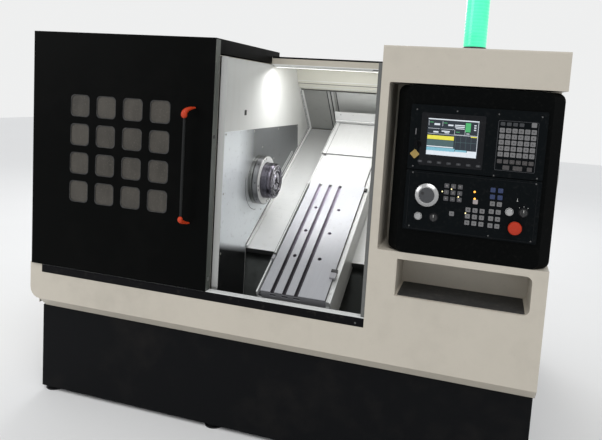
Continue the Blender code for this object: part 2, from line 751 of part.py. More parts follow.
def bed_casting():
    """Slanted casting with a tunnel through it, two box ways and screw bearing blocks."""
    foot_front = slope(BED_START, RISE_BED)[0]
    foot_back = slope(BED_END, RISE_BED)[0]
    outline = on_slope([(BED_START, RISE_BED), (BED_END, RISE_BED)])
    outline += [(foot_back, BASE_TOP), (foot_front, BASE_TOP)]
    made = prism("bed_casting", outline, "X", BED_LEFT, BED_RIGHT, "cast_iron")
    inner_rise = RISE_BED - BED_WALL
    inner_front = foot_front + BED_WALL
    inner_back = foot_back - BED_WALL
    lean = sin(SLANT) / cos(SLANT)
    base_y, base_z = slope(0, inner_rise)
    hollow = [
        (inner_front, base_z + (inner_front - base_y) * lean),
        (inner_back, base_z + (inner_back - base_y) * lean),
        (inner_back, BASE_TOP + BED_WALL),
        (inner_front, BASE_TOP + BED_WALL),
    ]
    shape_with(made, prism("cut_bed_tunnel", hollow, "X", BED_LEFT - OVERRUN, BED_RIGHT + OVERRUN))
    ways = [
        on_slope(rect(start, start + Z_WAY_WIDTH, RISE_BED - OVERRUN, RISE_Z_WAY))
        for start in (Z_WAY_FRONT, Z_WAY_BACK)
    ]
    add_to(made, prisms("add_z_ways", ways, "X", Z_WAY_START, BED_RIGHT))
    post = on_slope(rect(
        Z_SCREW_ALONG - Z_BLOCK_WIDTH / 2, Z_SCREW_ALONG + Z_BLOCK_WIDTH / 2,
        RISE_BED - OVERRUN, RISE_Z_WAY - GAP,
    ))
    builder = bmesh.new()
    for start in (Z_WAY_START, BED_RIGHT - Z_BLOCK_LENGTH):
        add_prism(builder, post, "X", start, start + Z_BLOCK_LENGTH)
    add_to(made, finish_object("add_screw_blocks", builder, None))
    screw_y, screw_z = slope(Z_SCREW_ALONG, Z_SCREW_RISE)
    bore = turned(
        "cut_z_screw_bore",
        rod(Z_WAY_START - OVERRUN, BED_RIGHT + OVERRUN, bore_for(Z_SCREW_RADIUS, SMALL_SEGMENTS)),
        (0, screw_y, screw_z), segments=SMALL_SEGMENTS,
    )
    return shape_with(made, bore)


def chip_pan():
    """Sheet trough under the open end of the slides, from the sill down to the base."""
    front = PAN_LIP
    back = slope(BED_START, RISE_BED)[0] - GAP
    low = BASE_TOP + GAP
    bend = SKIRT_BOTTOM + PAN_SKIRT_CLEARANCE
    path = [(front, SILL_HEIGHT - SHEET - GAP), (front, bend - front), (bend - low, low), (back, low)]
    outline = ribbon(path, SHEET)
    made = prism("chip_pan", outline, "X", CHAMBER_LEFT + GAP, CHAMBER_RIGHT - GAP, "base_paint")
    mouth = block(
        "cut_pan_mouth", CHAMBER_LEFT + BASE_WALL, BED_RIGHT - BASE_WALL - SHEET, PAN_LIP + BASE_WALL,
        back - BASE_WALL, BASE_TOP - OVERRUN, BASE_TOP + OVERRUN,
    )
    shape_with(made, mouth)
    behind = block(
        "cut_pan_at_column", COLUMN_LEFT - GAP, CHAMBER_RIGHT + OVERRUN, -OVERRUN, COLUMN_DEPTH + GAP,
        BASE_TOP - OVERRUN, SILL_HEIGHT,
    )
    return shape_with(made, behind)


# Cabinet panels

def corner_outline():
    """Outline in X and Z that rounds the skirt's lower left corner off."""
    low = BASE_TOP - OVERRUN
    corner = arc((SKIRT_CORNER, SKIRT_BOTTOM + SKIRT_CORNER), SKIRT_CORNER, pi, 3 * pi / 2)
    return corner + [(SKIRT_CORNER, low), (-OVERRUN, low), (-OVERRUN, SKIRT_BOTTOM + SKIRT_CORNER)]


def front_frame():
    """Front skirt and control column as one welded shell."""
    low = BASE_TOP + GAP
    skirt = [(SILL_DEPTH, SILL_HEIGHT), (0, SILL_HEIGHT), (0, SKIRT_BOTTOM), (SKIRT_CHAMFER, low)]
    made = prism("front_frame", ribbon(skirt, SHEET), "X", 0, COLUMN_LEFT + SHEET, "cream_paint")
    back = SKIRT_CHAMFER + SHEET
    end_cap = [(0, SKIRT_BOTTOM), (SKIRT_CHAMFER, low), (back, low), (back, SILL_HEIGHT), (0, SILL_HEIGHT)]
    add_to(made, prism("add_end_cap", end_cap, "X", 0, SHEET))
    column = [(0, SKIRT_BOTTOM), (SKIRT_CHAMFER, BASE_TOP + GAP), (COLUMN_DEPTH, BASE_TOP + GAP)]
    column += [(COLUMN_DEPTH, CABINET_HEIGHT)]
    column += arc(
        (COLUMN_EDGE_ROUND, CABINET_HEIGHT - COLUMN_EDGE_ROUND), COLUMN_EDGE_ROUND, pi / 2, pi,
    )
    add_to(made, prism("add_column", column, "X", COLUMN_LEFT, WIDTH))
    shape_with(made, prism("cut_corner", corner_outline(), "Y", -OVERRUN, SKIRT_CHAMFER + OVERRUN))
    notch = block(
        "cut_rail_notch", RAIL_START, COLUMN_LEFT, -OVERRUN, SILL_DEPTH + OVERRUN,
        SILL_HEIGHT - SHEET - RAIL_HEIGHT, SILL_HEIGHT + OVERRUN,
    )
    shape_with(made, notch)
    recess = rounded_rect(
        RECESS_LEFT, WIDTH + OVERRUN + BOX_ROUND, RECESS_BOTTOM, RECESS_TOP, COLUMN_EDGE_ROUND,
    )
    shape_with(made, prism("cut_recess", recess, "Y", -OVERRUN, RECESS_DEPTH))
    tray = [(TRAY_LEFT, TRAY_BOTTOM)]
    tray += arc((TRAY_RIGHT - TRAY_ROUND, TRAY_BOTTOM + TRAY_ROUND), TRAY_ROUND, -pi / 2, 0)
    tray += arc((TRAY_RIGHT - TRAY_ROUND, TRAY_TOP - TRAY_ROUND), TRAY_ROUND, 0, pi / 2)
    tray += [(TRAY_LEFT, TRAY_TOP)]
    shape_with(made, prism("cut_tray", tray, "Y", -OVERRUN, TRAY_DEPTH))
    belly = rect(COLUMN_LEFT + BASE_WALL, WIDTH - BASE_WALL, SKIRT_BOTTOM, TRAY_BOTTOM - BASE_WALL)
    shape_with(made, prism("cut_column_belly", belly, "Y", BASE_WALL, COLUMN_DEPTH + OVERRUN))
    return made


def left_cover():
    """Left side and the roof over the headstock."""
    front = SKIRT_CHAMFER + SHEET + GAP
    side = [
        (front, BASE_TOP + GAP), (CABINET_DEPTH - SHEET - GAP, BASE_TOP + GAP),
        (CABINET_DEPTH - SHEET - GAP, ROOF_HEIGHT - SHEET - GAP),
        (LINTEL_SETBACK + LINTEL_FLANGE, ROOF_HEIGHT - SHEET - GAP),
        (LINTEL_SETBACK + LINTEL_FLANGE, LEFT_ROOF_HEIGHT), (front, LEFT_ROOF_HEIGHT),
    ]
    made = prism("left_cover", side, "X", 0, SHEET, "cream_paint")
    roof = block(
        "add_left_roof", SHEET / 2, CHAMBER_LEFT - SHEET - GAP, front, LINTEL_SETBACK + LINTEL_FLANGE,
        LEFT_ROOF_HEIGHT - SHEET, LEFT_ROOF_HEIGHT,
    )
    add_to(made, roof)
    inner = CHAMBER_LEFT - SHEET - GAP
    panel = block("add_left_front", SHEET / 2, inner, front, front + SHEET, BASE_TOP + GAP, LEFT_ROOF_HEIGHT)
    add_to(made, panel)
    back = LINTEL_SETBACK + LINTEL_FLANGE
    riser = block(
        "add_left_riser", SHEET / 2, inner, back - SHEET, back, LEFT_ROOF_HEIGHT - SHEET,
        ROOF_HEIGHT - SHEET - GAP,
    )
    add_to(made, riser)
    slots = []
    for index in range(VENT_COUNT):
        low = SIDE_VENT_BOTTOM + index * VENT_PITCH
        for column in range(VENT_COLUMNS):
            start = SIDE_VENT_FRONT + column * VENT_COLUMN_PITCH
            slots.append(rect(start, start + VENT_WIDTH, low, low + VENT_HEIGHT))
    shape_with(made, prisms("cut_side_vents", slots, "X", -OVERRUN, OVERRUN))
    return shape_with(made, prism("cut_left_corner", corner_outline(), "Y", 0, front + OVERRUN))


def rear_cover():
    """Roof behind the lintel and the back wall, folded from one sheet."""
    path = [(COLUMN_DEPTH + GAP, ROOF_HEIGHT), (CABINET_DEPTH, ROOF_HEIGHT), (CABINET_DEPTH, BASE_TOP + GAP)]
    made = prism("rear_cover", ribbon(path[::-1], SHEET), "X", 0, WIDTH, "cream_paint")
    opening = block(
        "cut_roof_opening", -OVERRUN, COLUMN_LEFT + GAP, 0, LINTEL_SETBACK + LINTEL_FLANGE + GAP,
        LEFT_ROOF_HEIGHT, ROOF_HEIGHT + OVERRUN,
    )
    shape_with(made, opening)
    doorway = rect(
        BACK_DOOR_LEFT + BACK_DOOR_OVERLAP, BACK_DOOR_LEFT + BACK_DOOR_WIDTH - BACK_DOOR_OVERLAP,
        BACK_DOOR_BOTTOM + BACK_DOOR_OVERLAP, BACK_DOOR_BOTTOM + BACK_DOOR_HEIGHT - BACK_DOOR_OVERLAP,
    )
    slots = [doorway]
    for index in range(VENT_COUNT):
        low = VENT_BOTTOM + index * VENT_PITCH
        for column in range(VENT_COLUMNS):
            start = VENT_LEFT + column * VENT_COLUMN_PITCH
            slots.append(rect(start, start + VENT_WIDTH, low, low + VENT_HEIGHT))
    cutter = prisms("cut_back_openings", slots, "Y", CABINET_DEPTH - OVERRUN, CABINET_DEPTH + OVERRUN)
    return shape_with(made, cutter)


def right_cover():
    """Right side behind the column."""
    outline = rect(
        COLUMN_DEPTH + GAP, CABINET_DEPTH - SHEET - GAP, BASE_TOP + GAP, ROOF_HEIGHT - SHEET - GAP,
    )
    return prism("right_cover", outline, "X", WIDTH - SHEET, WIDTH, "cream_paint")


def lintel():
    """Lintel and stepped ceiling of the chamber, folded from one sheet."""
    bottom = ROOF_HEIGHT - LINTEL_DROP
    back = LINTEL_SETBACK + LINTEL_FLANGE
    first_tread = LINTEL_SETBACK + CEILING_TREAD
    second_tread = first_tread + CEILING_TREAD
    top = ROOF_HEIGHT - TOP_RAIL_HEIGHT - GAP
    path = [
        (back, top), (LINTEL_SETBACK, top), (LINTEL_SETBACK, bottom),
        (first_tread, bottom), (first_tread, bottom - CEILING_STEP),
        (second_tread, bottom - 2 * CEILING_STEP), (second_tread, bottom - 3 * CEILING_STEP),
        (REAR_PANEL_TOP_Y - GAP, REAR_PANEL_TOP_Z + GAP),
    ]
    outline = ribbon(path, THIN_SHEET)
    return prism("lintel", outline, "X", CHAMBER_LEFT + GAP, CHAMBER_RIGHT - GAP, "white_paint")


def chamber_side(clear):
    """Side outline of the chamber in Y and Z, from the post to the slanted covers."""
    low_front = slope(COVER_START, PANEL_RISE)
    return [
        (POST_SETBACK, BASE_TOP + GAP + SHEET + GAP),
        (low_front[0], BASE_TOP + GAP + SHEET + GAP),
        low_front,
        slope(REAR_PANEL_FOOT, PANEL_RISE),
        (REAR_PANEL_TOP_Y, REAR_PANEL_TOP_Z),
        (REAR_PANEL_TOP_Y, LEFT_ROOF_HEIGHT - SHEET - clear),
        (POST_SETBACK, LEFT_ROOF_HEIGHT - SHEET - clear),
    ]


def bulkhead():
    """White wall between the headstock and the chamber, with the post that the door meets."""
    made = prism("bulkhead", chamber_side(GAP), "X", CHAMBER_LEFT - SHEET, CHAMBER_LEFT, "white_paint")
    post = block(
        "add_post", CHAMBER_LEFT - SHEET, CHAMBER_LEFT + POST_WIDTH, POST_SETBACK - SHEET, POST_SETBACK,
        SILL_HEIGHT + GAP, LEFT_ROOF_HEIGHT - SHEET - GAP,
    )
    add_to(made, post)
    centre = slope(SPINDLE_ALONG, SPINDLE_RISE)
    cut = rod(CHAMBER_LEFT - SHEET - OVERRUN, CHAMBER_LEFT + OVERRUN, BEARING_BOSS_RADIUS + GAP)
    return shape_with(made, turned("cut_bulkhead_hole", cut, (0, *centre)))


def spindle_plate():
    """Bare plate on the bulkhead round the spindle, down to the trough."""
    under_trim = PANEL_RISE + TRIM_WIDTH + GAP
    low = BASE_TOP + SHEET + SHEET
    front_low = slope(COVER_START, under_trim)
    back_low = slope((SPINDLE_PLATE_BACK - slope(0, under_trim)[0]) / cos(SLANT), under_trim)
    outline = [
        (SPINDLE_PLATE_FRONT, low), (front_low[0], low), front_low, back_low,
        (SPINDLE_PLATE_BACK, SPINDLE_PLATE_TOP), (SPINDLE_PLATE_FRONT, SPINDLE_PLATE_TOP),
    ]
    start = CHAMBER_LEFT + GAP
    made = prism("spindle_plate", outline, "X", start, start + THIN_SHEET, "stainless")
    centre = slope(SPINDLE_ALONG, SPINDLE_RISE)
    cut = rod(start - OVERRUN, start + OVERRUN, BEARING_BOSS_RADIUS + GAP)
    return shape_with(made, turned("cut_plate_hole", cut, (0, *centre)))


def bulkhead_trim():
    """Bent wiper strip along the bulkhead above the way covers."""
    path = [
        slope(COVER_START, PANEL_RISE), slope(REAR_PANEL_FOOT - TRIM_WIDTH, PANEL_RISE),
        (REAR_PANEL_TOP_Y, REAR_PANEL_TOP_Z - TRIM_WIDTH),
    ]
    start = CHAMBER_LEFT + GAP
    return prism("bulkhead_trim", ribbon(path, TRIM_WIDTH), "X", start, start + TRIM_THICK, "stainless")


def inner_rear_panel():
    """Leaning back wall of the chamber."""
    foot = slope(REAR_PANEL_FOOT, PANEL_RISE)
    path = [(REAR_PANEL_TOP_Y, REAR_PANEL_TOP_Z - THIN_SHEET), (foot[0], foot[1])]
    outline = ribbon(path, THIN_SHEET)
    return prism("inner_rear_panel", outline, "X", CHAMBER_LEFT + GAP, CHAMBER_RIGHT - GAP, "stainless")


def inner_right_wall():
    """Right wall of the chamber."""
    start = CHAMBER_RIGHT
    made = prism("inner_right_wall", chamber_side(GAP), "X", start, start + SHEET, "white_paint")
    clear = block(
        "cut_wall_behind_column", start - OVERRUN, start + OVERRUN, -OVERRUN, COLUMN_DEPTH + GAP,
        BASE_TOP - OVERRUN, CABINET_HEIGHT,
    )
    return shape_with(made, clear)


def column_seal():
    """Black rubber seal on the column that the closed door meets."""
    return block(
        "column_seal", COLUMN_LEFT - SEAL_WIDTH, COLUMN_LEFT - GAP, SHEET, SHEET + SEAL_DEPTH,
        SILL_HEIGHT + GAP, ROOF_HEIGHT - LINTEL_DROP, "rubber",
    )


# Door and its rails

def sill_strip():
    outline = rect(0, SILL_DEPTH, SILL_HEIGHT - SHEET, SILL_HEIGHT)
    return prism("sill_strip", outline, "X", RAIL_START + GAP, COLUMN_LEFT - GAP, "bright_steel")


def door_rail():
    low = SILL_HEIGHT - SHEET - RAIL_HEIGHT + GAP
    outline = rect(0, RAIL_DEPTH - GAP, low, SILL_HEIGHT - SHEET - GAP)
    return prism("door_rail", outline, "X", RAIL_START + GAP, COLUMN_LEFT - GAP, "dark_steel")


def top_rail():
    """Flat rail on the lintel that carries the back of the door."""
    start = LINTEL_SETBACK + TOP_RAIL_SETBACK
    outline = rect(start, start + TOP_RAIL_WIDTH, ROOF_HEIGHT - TOP_RAIL_HEIGHT, ROOF_HEIGHT)
    return prism("top_rail", outline, "X", CHAMBER_LEFT + GAP, COLUMN_LEFT - GAP, "dark_steel")


def door_panel():
    """Folded door whose top runs back over the chamber and hooks onto the top rail."""
    front = -DOOR_PROUD
    inside = front + DOOR_THICK
    ceiling = DOOR_TOP - DOOR_ROOF_DEPTH
    roof_back = LINTEL_SETBACK - DOOR_LINTEL_GAP
    hook_back = roof_back + HOOK_LENGTH
    hook_low = ROOF_HEIGHT + GAP
    outline = [
        (front, DOOR_BOTTOM), (inside, DOOR_BOTTOM), (inside, ceiling), (roof_back, ceiling),
        (roof_back, hook_low), (hook_back, hook_low), (hook_back, DOOR_TOP), (front, DOOR_TOP),
    ]
    made = prism("door_panel", outline, "X", DOOR_LEFT, DOOR_RIGHT, "black_paint")
    skin = DOOR_SKIN
    hollow = [
        (front + skin, DOOR_BOTTOM + skin), (inside + OVERRUN, DOOR_BOTTOM + skin),
        (inside + OVERRUN, ceiling - OVERRUN), (roof_back - skin, ceiling - OVERRUN),
        (roof_back - skin, DOOR_TOP - skin), (front + skin, DOOR_TOP - skin),
    ]
    shape_with(made, prism("cut_door_hollow", hollow, "X", DOOR_LEFT + skin, DOOR_RIGHT - skin))
    half = WINDOW_SIZE / 2
    windows = []
    for column in range(WINDOW_COLUMNS):
        for row in range(WINDOW_ROWS):
            across = WINDOW_LEFT + column * WINDOW_PITCH_X
            up = WINDOW_TOP - row * WINDOW_PITCH_Z
            window = rounded_rect(across - half, across + half, up - half, up + half, WINDOW_ROUND)
            windows.append(window)
    return shape_with(made, prisms("cut_windows", windows, "Y", front - OVERRUN, front + skin + OVERRUN))


def door_glass():
    """One pane behind all the windows."""
    reach_x = (WINDOW_COLUMNS - 1) * WINDOW_PITCH_X
    reach_z = (WINDOW_ROWS - 1) * WINDOW_PITCH_Z
    margin = WINDOW_SIZE / 2 + GLASS_MARGIN
    front = DOOR_SKIN + GAP - DOOR_PROUD
    outline = rect(
        WINDOW_LEFT - margin, WINDOW_LEFT + reach_x + margin,
        WINDOW_TOP - reach_z - margin, WINDOW_TOP + margin,
    )
    return prism("door_glass", outline, "Y", front, front + GLASS_THICK, "glass")


def sweep(name, route, radii, material):
    """Round bar through the route's points, with a radius at each."""
    builder = bmesh.new()
    rings = []
    for index, point in enumerate(route):
        before = Vector(route[max(index - 1, 0)])
        after = Vector(route[min(index + 1, len(route) - 1)])
        run = (after - before).normalized()
        side = run.cross(Vector((1, 0, 0))).normalized()
        up = run.cross(side)
        ring = []
        for step in range(SMALL_SEGMENTS):
            turn = 2 * pi * step / SMALL_SEGMENTS
            spot = Vector(point) + radii[index] * (cos(turn) * side + sin(turn) * up)
            ring.append(builder.verts.new(spot))
        rings.append(ring)
    for first, second in zip(rings, rings[1:]):
        for step in range(SMALL_SEGMENTS):
            after = (step + 1) % SMALL_SEGMENTS
            builder.faces.new((first[step], first[after], second[after], second[step]))
    builder.faces.new(rings[0])
    builder.faces.new(rings[-1])
    return finish_object(name, builder, material, smooth=True)


def handle_bar():
    """Straight grip held off the door between its two end caps."""
    out = -DOOR_PROUD - HANDLE_STANDOFF
    x = HANDLE_X - HANDLE_LEAN
    top = HANDLE_TOP - HANDLE_CAP_LENGTH - GAP
    bottom = HANDLE_BOTTOM + HANDLE_CAP_LENGTH + GAP
    return sweep("handle_bar", [(x, out, top), (x, out, bottom)], [HANDLE_RADIUS] * 2, "grey_plastic")


def handle_cap(name, end, inward):
    """Curved horn from the door to one end of the grip; inward is the way to the grip."""
    start_y = -DOOR_PROUD - GAP
    reach = HANDLE_STANDOFF - GAP
    route = [(HANDLE_X, start_y + HANDLE_CAP_SINK, end)]
    radii = [HANDLE_FOOT_RADIUS]
    for step in range(ROUND_STEPS + 1):
        turn = step * pi / 2 / ROUND_STEPS
        route.append((
            HANDLE_X - HANDLE_LEAN * sin(turn),
            start_y - reach * sin(turn),
            end + inward * HANDLE_CAP_BEND * (1 - cos(turn)),
        ))
        radii.append(HANDLE_FOOT_RADIUS + (HANDLE_CAP_RADIUS - HANDLE_FOOT_RADIUS) * step / ROUND_STEPS)
    route.append((HANDLE_X - HANDLE_LEAN, start_y - reach, end + inward * HANDLE_CAP_LENGTH))
    radii.append(HANDLE_CAP_RADIUS)
    made = sweep(name, route, radii, "orange_plastic")
    trim = block(
        "cut_" + name, HANDLE_X - HANDLE_CAP_LENGTH, HANDLE_X + HANDLE_CAP_LENGTH, start_y,
        start_y + HANDLE_CAP_LENGTH, end - HANDLE_CAP_LENGTH, end + HANDLE_CAP_LENGTH,
    )
    return shape_with(made, trim)


# Headstock and spindle

def headstock():
    """Casting that holds the spindle, with a round snout reaching the bulkhead."""
    foot = RISE_BED + GAP
    body = [
        (SPINDLE_ALONG - HEADSTOCK_FOOT, foot), (SPINDLE_ALONG + HEADSTOCK_FOOT, foot),
        (SPINDLE_ALONG + HEADSTOCK_FOOT, foot + BED_WALL),
    ]
    body += arc((SPINDLE_ALONG, SPINDLE_RISE), HEADSTOCK_ROUND, 0, pi, 2 * ROUND_STEPS)
    body += [(SPINDLE_ALONG - HEADSTOCK_FOOT, foot + BED_WALL)]
    made = prism("headstock", on_slope(body), "X", HEADSTOCK_LEFT, HEADSTOCK_RIGHT, "cast_iron")
    centre = (0, *slope(SPINDLE_ALONG, SPINDLE_RISE))
    snout_end = CHAMBER_LEFT - SNOUT_END_GAP
    add_to(made, turned("add_snout", rod(HEADSTOCK_RIGHT - OVERRUN, snout_end, SNOUT_RADIUS), centre))
    bore = rod(HEADSTOCK_LEFT - OVERRUN, snout_end + OVERRUN, bore_for(SPINDLE_BODY_RADIUS))
    return shape_with(made, turned("cut_spindle_bore", bore, centre))


def bearing_cover():
    """Ring that closes the front bearing, seated on the snout and the bare plate."""
    seat = CHAMBER_LEFT - SNOUT_END_GAP + GAP
    face = CHAMBER_LEFT + THIN_SHEET + 2 * GAP
    inner = bore_for(SPINDLE_BODY_RADIUS)
    profile = [
        (seat, inner), (face + BEARING_COVER_WIDTH, inner),
        (face + BEARING_COVER_WIDTH, BEARING_COVER_RADIUS - NOSE_BEVEL),
        (face + BEARING_COVER_WIDTH - NOSE_BEVEL, BEARING_COVER_RADIUS),
        (face, BEARING_COVER_RADIUS), (face, BEARING_BOSS_RADIUS), (seat, BEARING_BOSS_RADIUS),
    ]
    return turned("bearing_cover", profile, (0, *slope(SPINDLE_ALONG, SPINDLE_RISE)), material="bright_steel")


def spindle_shaft():
    """Hollow spindle with a notched flange at its nose."""
    body_start = HEADSTOCK_LEFT - PULLEY_TO_HEADSTOCK / 2
    profile = [
        (SPINDLE_REAR, SPINDLE_BORE), (NOSE_START - GAP, SPINDLE_BORE),
        (NOSE_START - GAP, SPINDLE_FLANGE_RADIUS - NOSE_BEVEL / 2),
        (NOSE_START - GAP - NOSE_BEVEL / 2, SPINDLE_FLANGE_RADIUS),
        (FLANGE_START, SPINDLE_FLANGE_RADIUS), (FLANGE_START, SPINDLE_BODY_RADIUS),
        (body_start, SPINDLE_BODY_RADIUS), (body_start, SPINDLE_TAIL_RADIUS),
        (SPINDLE_REAR, SPINDLE_TAIL_RADIUS),
    ]
    centre = (0, *slope(SPINDLE_ALONG, SPINDLE_RISE))
    made = turned("spindle_shaft", profile, centre, material="ground_steel")
    builder = bmesh.new()
    for index in range(SPINDLE_NOTCH_COUNT):
        turn = (2 * index + 1) * pi / SPINDLE_NOTCH_COUNT
        across = SPINDLE_FLANGE_RADIUS * cos(turn)
        up = SPINDLE_FLANGE_RADIUS * sin(turn)
        ring = circle((across, up), SPINDLE_NOTCH_RADIUS)
        add_prism(builder, ring, "X", FLANGE_START + SPINDLE_FLANGE_WIDTH / 3, NOSE_START + OVERRUN)
    notches = finish_object("cut_flange_notches", builder, None)
    notches.location = centre
    return shape_with(made, notches)


def nose_cap():
    """Collet chuck body on the spindle flange."""
    taper_end = NOSE_END - NOSE_MOUTH_DEPTH
    profile = [
        (NOSE_START, NOSE_BORE), (taper_end, NOSE_BORE), (taper_end, NOSE_MOUTH), (NOSE_END, NOSE_MOUTH),
        (NOSE_END, NOSE_RADIUS - NOSE_BEVEL), (NOSE_END - NOSE_BEVEL, NOSE_RADIUS), (NOSE_START, NOSE_RADIUS),
    ]
    return turned("nose_cap", profile, (0, *slope(SPINDLE_ALONG, SPINDLE_RISE)), material="ground_steel")


def collet():
    """Slotted collet that slides in the nose."""
    end = NOSE_END - COLLET_PROUD
    start = end - COLLET_LENGTH
    outer = NOSE_BORE * cos(pi / FINE_SEGMENTS) - RUN_GAP
    tail = SPINDLE_BORE * cos(pi / FINE_SEGMENTS) - RUN_GAP
    head = NOSE_START + 2 * COLLET_TRAVEL
    profile = [
        (start, COLLET_BORE), (end, COLLET_BORE), (end, outer - COLLET_BEVEL),
        (end - COLLET_BEVEL, outer), (head, outer), (head, tail), (start, tail),
    ]
    centre = (0, *slope(SPINDLE_ALONG, SPINDLE_RISE))
    made = turned("collet", profile, centre, material="bright_steel")
    builder = bmesh.new()
    for index in range(COLLET_SLITS):
        turn = pi / 2 + index * 2 * pi / COLLET_SLITS
        run = Vector((cos(turn), sin(turn)))
        side = Vector((-run.y, run.x)) * COLLET_SLIT / 2
        near = run * COLLET_BORE / 2
        far = run * NOSE_RADIUS
        ring = [tuple(near + side), tuple(near - side), tuple(far - side), tuple(far + side)]
        add_prism(builder, ring, "X", end - COLLET_LENGTH / 2, end + OVERRUN)
    slits = finish_object("cut_collet_slits", builder, None)
    slits.location = centre
    return shape_with(made, slits)


def grooved(start, end, outer, inner, rim):
    """Pulley section with a rim at each end of a shallow belt seat."""
    return [
        (start, inner), (end, inner), (end, outer), (end - rim, outer), (end - rim, outer - rim),
        (start + rim, outer - rim), (start + rim, outer), (start, outer),
    ]


def spindle_pulley():
    """Pulley on the tail of the spindle, in one piece with the cylinder that pulls the collet."""
    inner = SPINDLE_TAIL_RADIUS / cos(pi / FINE_SEGMENTS) + GAP
    end = SPINDLE_REAR + CYLINDER_LENGTH
    profile = grooved(PULLEY_LEFT, PULLEY_RIGHT, PULLEY_RADIUS, inner, PULLEY_RIM)
    profile += [
        (PULLEY_LEFT, CYLINDER_NECK), (end, CYLINDER_NECK), (end, CYLINDER_RADIUS - NOSE_BEVEL),
        (end - NOSE_BEVEL, CYLINDER_RADIUS), (SPINDLE_REAR + CYLINDER_LENGTH / 3, CYLINDER_RADIUS),
        (SPINDLE_REAR + CYLINDER_LENGTH / 3, CYLINDER_NECK), (SPINDLE_REAR, CYLINDER_NECK),
        (SPINDLE_REAR, inner),
    ]
    profile = profile[1:]
    return turned("spindle_pulley", profile, (0, *slope(SPINDLE_ALONG, SPINDLE_RISE)), material="cast_iron")


def motor_centre():
    return slope(MOTOR_ALONG, RISE_BED + MOTOR_HEIGHT)


def spindle_motor():
    """Finned motor on a foot, beside the headstock on the bed."""
    ring = []
    for index in range(2 * MOTOR_FIN_COUNT):
        radius = MOTOR_RADIUS - (index % 2) * MOTOR_FIN_DEPTH
        turn = pi * index / MOTOR_FIN_COUNT
        ring.append((MOTOR_ALONG + radius * cos(turn), RISE_BED + MOTOR_HEIGHT + radius * sin(turn)))
    start = HEADSTOCK_LEFT
    made = prism("spindle_motor", on_slope(ring), "X", start, start + MOTOR_LENGTH, "motor_black")
    half = MOTOR_FOOT_WIDTH / 2
    foot = on_slope(rect(MOTOR_ALONG - half, MOTOR_ALONG + half, RISE_BED + GAP, RISE_BED + MOTOR_FOOT_THICK))
    add_to(made, prism("add_motor_foot", foot, "X", start + OVERRUN, start + MOTOR_LENGTH - OVERRUN))
    shaft = rod(PULLEY_LEFT, start + OVERRUN, MOTOR_SHAFT_RADIUS)
    return add_to(made, turned("add_motor_shaft", shaft, (0, *motor_centre()), segments=SMALL_SEGMENTS))


def motor_pulley():
    profile = grooved(PULLEY_LEFT, PULLEY_RIGHT, MOTOR_PULLEY_RADIUS, bore_for(MOTOR_PULLEY_HUB), PULLEY_RIM)
    return turned("motor_pulley", profile, (0, *motor_centre()), material="cast_iron")


def drive_belt():
    """Flat belt round both pulleys."""
    near = Vector(slope(SPINDLE_ALONG, SPINDLE_RISE))
    span = Vector(motor_centre()) - near
    heading = atan2(span.y, span.x)
    tangent = acos((PULLEY_RADIUS - MOTOR_PULLEY_RADIUS) / span.length)
    faceting = cos(pi / FINE_SEGMENTS) * cos((pi - tangent) / FINE_SEGMENTS)
    loops = []
    for extra in (GAP, GAP + BELT_THICK):
        near_radius = (PULLEY_RADIUS - PULLEY_RIM) / faceting + extra
        far_radius = (MOTOR_PULLEY_RADIUS - PULLEY_RIM) / faceting + extra
        loop = arc(near, near_radius, heading + tangent, heading + 2 * pi - tangent, FINE_SEGMENTS)
        loop += arc(motor_centre(), far_radius, heading - tangent, heading + tangent, FINE_SEGMENTS)
        loops.append(loop)
    centre = (PULLEY_LEFT + PULLEY_RIGHT) / 2
    made = prism("drive_belt", loops[1], "X", centre - BELT_WIDTH / 2, centre + BELT_WIDTH / 2, "rubber")
    inside = prism("cut_belt_inside", loops[0], "X", centre - BELT_WIDTH, centre + BELT_WIDTH)
    return shape_with(made, inside)


# Slides

